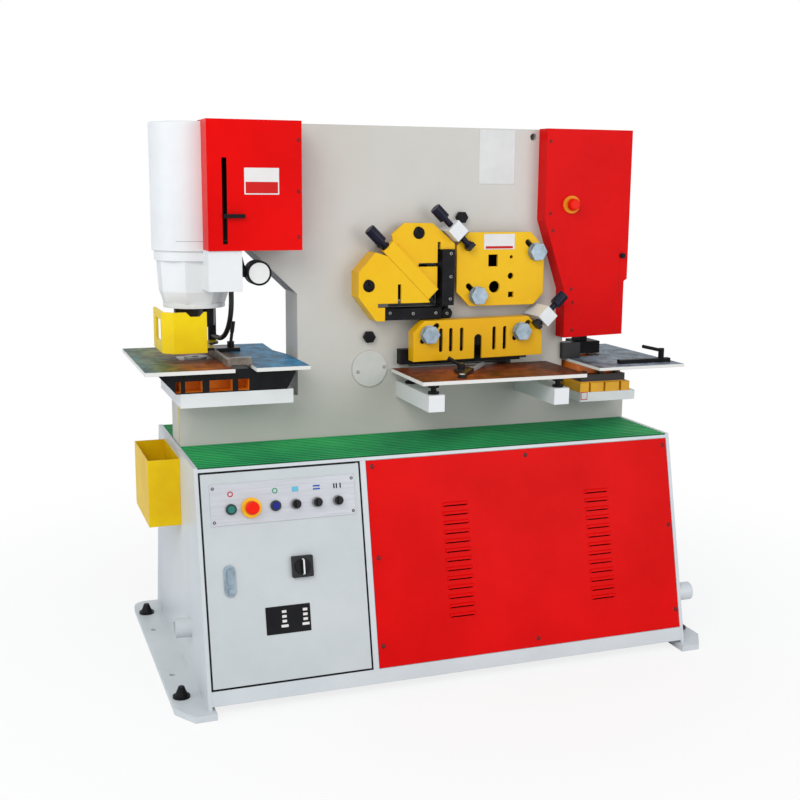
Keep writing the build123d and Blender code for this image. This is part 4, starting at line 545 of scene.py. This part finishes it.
# Button-head screws: pressed steel domes with a round socket, turned into the base panels at
# front and rear, into both covers and into the corners of the control plate.
def button_screw(place, turn, radius, height, socket=0.6):
    """A domed screw head with a round socket; turn is the rotation that brings +Z outwards."""
    deselect()
    bpy.ops.mesh.primitive_cylinder_add(vertices=20, radius=radius, depth=height, location=(0, 0, height / 2))
    head = bpy.context.object
    bpy.ops.object.mode_set(mode="EDIT")
    bpy.ops.mesh.select_all(action="DESELECT")
    mesh = bmesh.from_edit_mesh(head.data)
    for face in mesh.faces:
        face.select = face.normal.z > 0.9
    bmesh.update_edit_mesh(head.data)
    bpy.ops.mesh.bevel(offset=height * 0.8, segments=3)
    bpy.ops.mesh.select_all(action="DESELECT")
    mesh = bmesh.from_edit_mesh(head.data)
    top = max(mesh.faces, key=lambda f: f.calc_center_median().z * (f.normal.z > 0.9))
    top.select = True
    bmesh.update_edit_mesh(head.data)
    bpy.ops.mesh.inset(thickness=radius * 0.12)
    bpy.ops.mesh.extrude_region_move(TRANSFORM_OT_translate={"value": (0, 0, -height * socket)})
    bpy.ops.object.mode_set(mode="OBJECT")
    bpy.ops.object.shade_smooth_by_angle(angle=0.6)
    head.matrix_world = Matrix.Translation(place) @ turn.to_4x4()
    return head


to_front = Matrix.Rotation(math.radians(90), 3, "X")
screw_finish = mottled("screw_finish", (0.05, 0.03, 0.03), (0.02, 0.015, 0.015), rough=0.35, grain=60,
                       metal=0.4)
panel_head = {"radius": 0.0075, "height": 0.004}
panel_heads = [button_screw(base_face(x / 1000, z / 1000), on_face, **panel_head)
               for x, z in ((-258, 681), (-257, 404), (-261, 139), (269, 680), (785, 677), (785, 413),
                            (789, 133), (269, 100))]
rear_face = Matrix.Rotation(math.pi, 3, "Z") @ on_face
for x, z in ((-740, 681), (-740, 404), (-740, 120), (258, 681), (258, 120), (300, 681), (300, 120),
             (780, 681), (780, 404), (780, 120)):
    behind = base_face(-x / 1000, z / 1000)
    place = Vector((-behind.x, -behind.y, behind.z))
    panel_heads.append(button_screw(place, rear_face, **panel_head))
settle(gather(panel_heads), "panel_screws", screw_finish, "machine")
cover_heads = [button_screw(Vector((x / 1000, y / 1000, z / 1000)), to_front, 0.006, 0.003)
               for x, y, z in ((-437, -165, 1674), (-438, -165, 1520), (-439, -165, 1381), (461, -85, 1690),
                               (467, -85, 1450), (479, -85, 1392), (556, -85, 1191), (563, -85, 1144),
                               (565, -85, 1048))]
settle(gather(cover_heads), "cover_screws", screw_finish, "machine")
plate_heads = [button_screw(base_face(x / 1000, z / 1000, 0.002), on_face, 0.005, 0.0025)
               for x, z in ((-760, 652), (-760, 554), (-329, 652), (-329, 554))]
settle(gather(plate_heads), "control_plate_screws", screw_finish, "door_body")


# Black bolts: two hexagon heads with chamfered corners screwed into the frame plate, and one
# larger round head in each of the two angle guards.
def hexagon_bolt(place, across, height):
    """A hexagon head facing the front, its outer corners turned off."""
    deselect()
    bpy.ops.mesh.primitive_cylinder_add(vertices=6, radius=across / math.sqrt(3), depth=height,
                                        location=(0, 0, height / 2), rotation=(0, 0, math.radians(30)))
    head = bpy.context.object
    bpy.ops.object.mode_set(mode="EDIT")
    bpy.ops.mesh.select_all(action="DESELECT")
    mesh = bmesh.from_edit_mesh(head.data)
    for edge in mesh.edges:
        edge.select = all(v.co.z > 0 for v in edge.verts)
    bmesh.update_edit_mesh(head.data)
    bpy.ops.mesh.bevel(offset=height * 0.16, segments=2)
    bpy.ops.object.mode_set(mode="OBJECT")
    head.matrix_world = Matrix.Translation(place) @ to_front.to_4x4() @ head.matrix_world
    return head


frame_wall = -0.025
bolt_across = 0.036
bolt_height = 0.02
bolts = [hexagon_bolt(Vector((x, frame_wall, z)), bolt_across, bolt_height)
         for x, z in ((-0.164, 1.044), (0.162, 1.436))]
settle(gather(bolts), "frame_bolts", black_steel, "machine")
round_heads = [button_screw(Vector(place), to_front, radius=0.0215, height=0.016, socket=0.12)
               for place in ((-0.188, -0.100, 1.219), (-0.005, -0.070, 1.387))]
settle(gather(round_heads), "guard_bolts", black_steel, "machine")


# Blade screws: small bright socket heads that hold the fixed blades' holders and the retaining
# plate of the pivot pin, each standing on the face it holds down.
blade_heads = [button_screw(Vector((x / 1000, -0.085, z / 1000)), to_front, 0.0055, 0.0025)
               for x, z in ((105, 1319), (105, 1242), (104, 1168), (-109, 1127), (-28, 1123), (53, 1123))]
blade_heads += [button_screw(Vector((x / 1000, -0.030, z / 1000)), to_front, 0.0065, 0.004)
                for x, z in ((-110, 941), (-202, 927))]
blade_heads.append(button_screw(Vector((0.105, -0.055, 1.117)), to_front, 0.0055, 0.0025))
settle(gather(blade_heads), "blade_screws", bright_steel, "machine")


# Moving blades: thick black tool steel plates pressed into the beam's two windows. Each has
# openings that face those of the fixed side, so they close the view through the machine.
def cut_plate(low, high, holes):
    """A plate between two corners in metres, less its holes: (x, z, wide, tall), or (x, z, radius, 0)."""
    deselect()
    drill_length = 0.2
    middle = [(a + b) / 2 for a, b in zip(low, high)]
    bpy.ops.mesh.primitive_cube_add(size=1, location=middle)
    plate = bpy.context.object
    plate.scale = [b - a for a, b in zip(low, high)]
    bpy.ops.object.transform_apply(location=True, rotation=False, scale=True)
    bpy.ops.object.mode_set(mode="EDIT")
    bpy.ops.mesh.select_all(action="SELECT")
    bpy.ops.mesh.bevel(offset=0.0008, segments=1)
    bpy.ops.object.mode_set(mode="OBJECT")
    for x, z, wide, tall in holes:
        deselect()
        if tall:
            bpy.ops.mesh.primitive_cube_add(size=1, location=(x, middle[1], z))
            bpy.context.object.scale = (wide, drill_length, tall)
        else:
            bpy.ops.mesh.primitive_cylinder_add(vertices=32, radius=wide, depth=drill_length,
                                                location=(x, middle[1], z),
                                                rotation=(math.radians(90), 0, 0))
        drill = bpy.context.object
        cut = plate.modifiers.new("hole", "BOOLEAN")
        cut.operation = "DIFFERENCE"
        cut.object = drill
        deselect()
        bpy.context.view_layer.objects.active = plate
        plate.select_set(True)
        bpy.ops.object.modifier_apply(modifier=cut.name)
        bpy.data.objects.remove(drill)
    return plate


blade_steel = mottled("blade_steel", (0.012, 0.011, 0.011), (0.005, 0.005, 0.005), rough=0.5, grain=14,
                      shine=0.08)
blade_front = 0.020
blade_back = 0.060
angle_opening = [(0.0285, 1.282, 0.067, 0.012)]
angle_blade = cut_plate((-0.0595, blade_front, 1.161), (0.061, blade_back, 1.2895), angle_opening)
settle(angle_blade, "moving_angle_blade", blade_steel, "beam_body")
section_openings = [(0.2645, 1.293, 0.035, 0.040), (0.333, 1.1765, 0.020, 0.019), (0.271, 1.204, 0.020, 0),
                    (0.331, 1.240, 0.011, 0), (0.332, 1.304, 0.006, 0)]
section_blade = cut_plate((0.2205, blade_front, 1.1605), (0.3495, blade_back, 1.3295), section_openings)
settle(section_blade, "moving_section_blade", blade_steel, "beam_body")


# Door gasket: a black rubber strip moulded as one loop and pressed round the cabinet's opening.
# It lies in the gap beside the door and stays with the base when the door swings.
rubber_strip = mottled("gasket_rubber", (0.01, 0.01, 0.011), (0.005, 0.005, 0.006), rough=0.5, grain=50,
                       shine=0.1)
opening_low = 0.073
opening_high = 0.701
latch_side = -0.800
hinge_side = -0.2945
strip_width = 0.0045
strip_depth = 0.016
behind_face = 0.0105
low = (opening_low - deck_height) / math.cos(lean)
high = (opening_high - deck_height) / math.cos(lean)
deselect()
bpy.ops.mesh.primitive_plane_add(size=1)
gasket = bpy.context.object
for vertex in gasket.data.vertices:
    side = latch_side if vertex.co.x < 0 else hinge_side
    end = low if vertex.co.y < 0 else high
    vertex.co = (side, end, 0)
bpy.ops.object.mode_set(mode="EDIT")
bpy.ops.mesh.select_all(action="SELECT")
bpy.ops.mesh.inset(thickness=strip_width)
bpy.ops.mesh.delete(type="FACE")
bpy.ops.object.mode_set(mode="OBJECT")
thick = gasket.modifiers.new("thickness", "SOLIDIFY")
thick.thickness = strip_depth
thick.offset = 0
bpy.ops.object.modifier_apply(modifier=thick.name)
gasket.matrix_world = Matrix.Translation(base_face(0, deck_height, -behind_face)) @ on_face.to_4x4()
settle(gasket, "door_gasket", rubber_strip, "machine")


# Blank plates: thin printed aluminium and foil, glued on where the photo has its plates. They
# keep plain fields of colour and carry no words.
def flat_plate(width, height, thickness, corner):
    """A thin plate with rounded corners, lying in XY round its centre with its back at Z 0."""
    deselect()
    bpy.ops.mesh.primitive_plane_add(size=1)
    plate = bpy.context.object
    plate.scale = (width, height, 1)
    bpy.ops.object.transform_apply(location=False, rotation=False, scale=True)
    bpy.ops.object.mode_set(mode="EDIT")
    bpy.ops.mesh.select_all(action="SELECT")
    if corner:
        bpy.ops.mesh.bevel(offset=corner, segments=3, affect="VERTICES")
    bpy.ops.mesh.extrude_region_move(TRANSFORM_OT_translate={"value": (0, 0, thickness)})
    bpy.ops.mesh.select_all(action="SELECT")
    bpy.ops.mesh.normals_make_consistent(inside=False)
    bpy.ops.object.mode_set(mode="OBJECT")
    return plate


def on_wall(piece, x, depth, z):
    """Stands a flat piece on an upright front face, in metres."""
    piece.matrix_world = Matrix.Translation(Vector((x, depth, z))) @ to_front.to_4x4()
    return piece


def on_door(piece, x, z, out=0.0):
    """Lays a flat piece on the base's leaning front."""
    piece.matrix_world = Matrix.Translation(base_face(x, z, out)) @ on_face.to_4x4()
    return piece


foil = mottled("white_foil", (0.74, 0.72, 0.70), (0.70, 0.67, 0.65), rough=0.4, grain=12)
grey_foil = mottled("grey_foil", (0.66, 0.66, 0.64), (0.61, 0.61, 0.60), rough=0.4, grain=12)
red_foil = mottled("red_foil", (0.60, 0.01, 0.01), (0.52, 0.008, 0.008), rough=0.4, shine=0.15)
foil_sheet = 0.0008
band_sheet = 0.0012
left_cover_wall = -0.165
section_wall = -0.070
shelf_wall = -0.150
settle(on_wall(flat_plate(0.132, 0.180, foil_sheet, 0.003), 0.2915, frame_wall, 1.637), "frame_plate_blank",
       grey_foil, "machine")
settle(on_wall(flat_plate(0.108, 0.080, foil_sheet, 0.002), -0.553, left_cover_wall, 1.550),
       "left_cover_foil", foil, "machine")
settle(on_wall(flat_plate(0.100, 0.034, band_sheet, 0.001), -0.553, left_cover_wall, 1.531),
       "left_cover_foil_band", red_foil, "machine")
settle(on_wall(flat_plate(0.114, 0.052, foil_sheet, 0.002), 0.286, section_wall, 1.356), "section_foil",
       foil, "section_plate_body")
settle(on_wall(flat_plate(0.100, 0.008, band_sheet, 0.001), 0.286, section_wall, 1.337),
       "section_foil_band", red_foil, "section_plate_body")
settle(on_wall(flat_plate(0.026, 0.028, foil_sheet, 0.001), 0.586, shelf_wall, 0.824), "shelf_foil",
       red_foil, "machine")
settle(on_wall(flat_plate(0.021, 0.023, band_sheet, 0.001), 0.586, shelf_wall, 0.824), "shelf_foil_field",
       foil, "machine")
black_foil = mottled("black_foil", (0.011, 0.011, 0.012), (0.007, 0.007, 0.008), rough=0.4, grain=12,
                     shine=0.1)
data_sheet = 0.001
data_plate = on_door(flat_plate(0.138, 0.083, data_sheet, 0.002), -0.555, 0.2545)
settle(data_plate, "data_plate", black_foil, "door_body")
fields = [on_door(flat_plate(width, 0.008, 0.0005, 0), x, height, data_sheet)
          for height, width in ((0.278, 0.014), (0.264, 0.014), (0.250, 0.014), (0.236, 0.022))
          for x in (-0.567, -0.502)]
settle(gather(fields), "data_plate_fields", foil, "door_body")


# Marks over the controls: ink printed on the steel plate above each push button and selector,
# kept to plain rings, squares and bars.
def flat_disc(radius, thickness, hole=0.0):
    """A thin disc, or a ring when it has a hole, lying in XY with its back at Z 0."""
    deselect()
    bpy.ops.mesh.primitive_circle_add(vertices=40, radius=radius, fill_type="NGON")
    disc = bpy.context.object
    bpy.ops.object.mode_set(mode="EDIT")
    bpy.ops.mesh.select_all(action="SELECT")
    if hole:
        bpy.ops.mesh.inset(thickness=radius - hole)
        bpy.ops.mesh.delete(type="FACE")
        bpy.ops.mesh.select_all(action="SELECT")
    bpy.ops.mesh.extrude_region_move(TRANSFORM_OT_translate={"value": (0, 0, thickness)})
    bpy.ops.mesh.select_all(action="SELECT")
    bpy.ops.mesh.normals_make_consistent(inside=False)
    bpy.ops.object.mode_set(mode="OBJECT")
    return disc


ink = 0.0004
mark_row = 0.633
mark_out = 0.0022
green_foil = mottled("green_foil", (0.02, 0.34, 0.16), (0.015, 0.28, 0.13), rough=0.4, shine=0.15)
pale_foil = mottled("pale_blue_foil", (0.16, 0.52, 0.68), (0.12, 0.44, 0.60), rough=0.4, shine=0.15)
blue_foil = mottled("blue_foil", (0.02, 0.10, 0.50), (0.015, 0.07, 0.40), rough=0.4, shine=0.15)
for name, x, finish in (("red_mark", -0.708, red_foil), ("green_mark", -0.572, green_foil)):
    ring = on_door(flat_disc(0.0085, ink, 0.0055), x, mark_row, mark_out)
    settle(ring, name, finish, "door_body")
square = on_door(flat_plate(0.020, 0.015, ink, 0.001), -0.509, mark_row, mark_out)
settle(square, "pale_blue_mark", pale_foil, "door_body")
blue_bars = [on_door(flat_plate(0.022, 0.0045, ink, 0), -0.442, mark_row + up, mark_out)
             for up in (0.0045, -0.0045)]
settle(gather(blue_bars), "blue_mark", blue_foil, "door_body")
black_bars = [on_door(flat_plate(0.004, 0.015, ink, 0), x, mark_row, mark_out)
              for x in (-0.386, -0.378, -0.366)]
settle(gather(black_bars), "black_mark", black_foil, "door_body")


# Lamp glass: an opal glass disc pressed into the front of the lamp head, which stands on its
# arm above the punching table.
opal = mottled("opal_glass", (0.80, 0.80, 0.78), (0.74, 0.74, 0.72), rough=0.25, grain=12, coat=0.3)
glass = on_wall(flat_disc(0.0325, 0.0012), -0.554, -0.120, 1.269)
settle(glass, "lamp_glass", opal, "lamp_body")
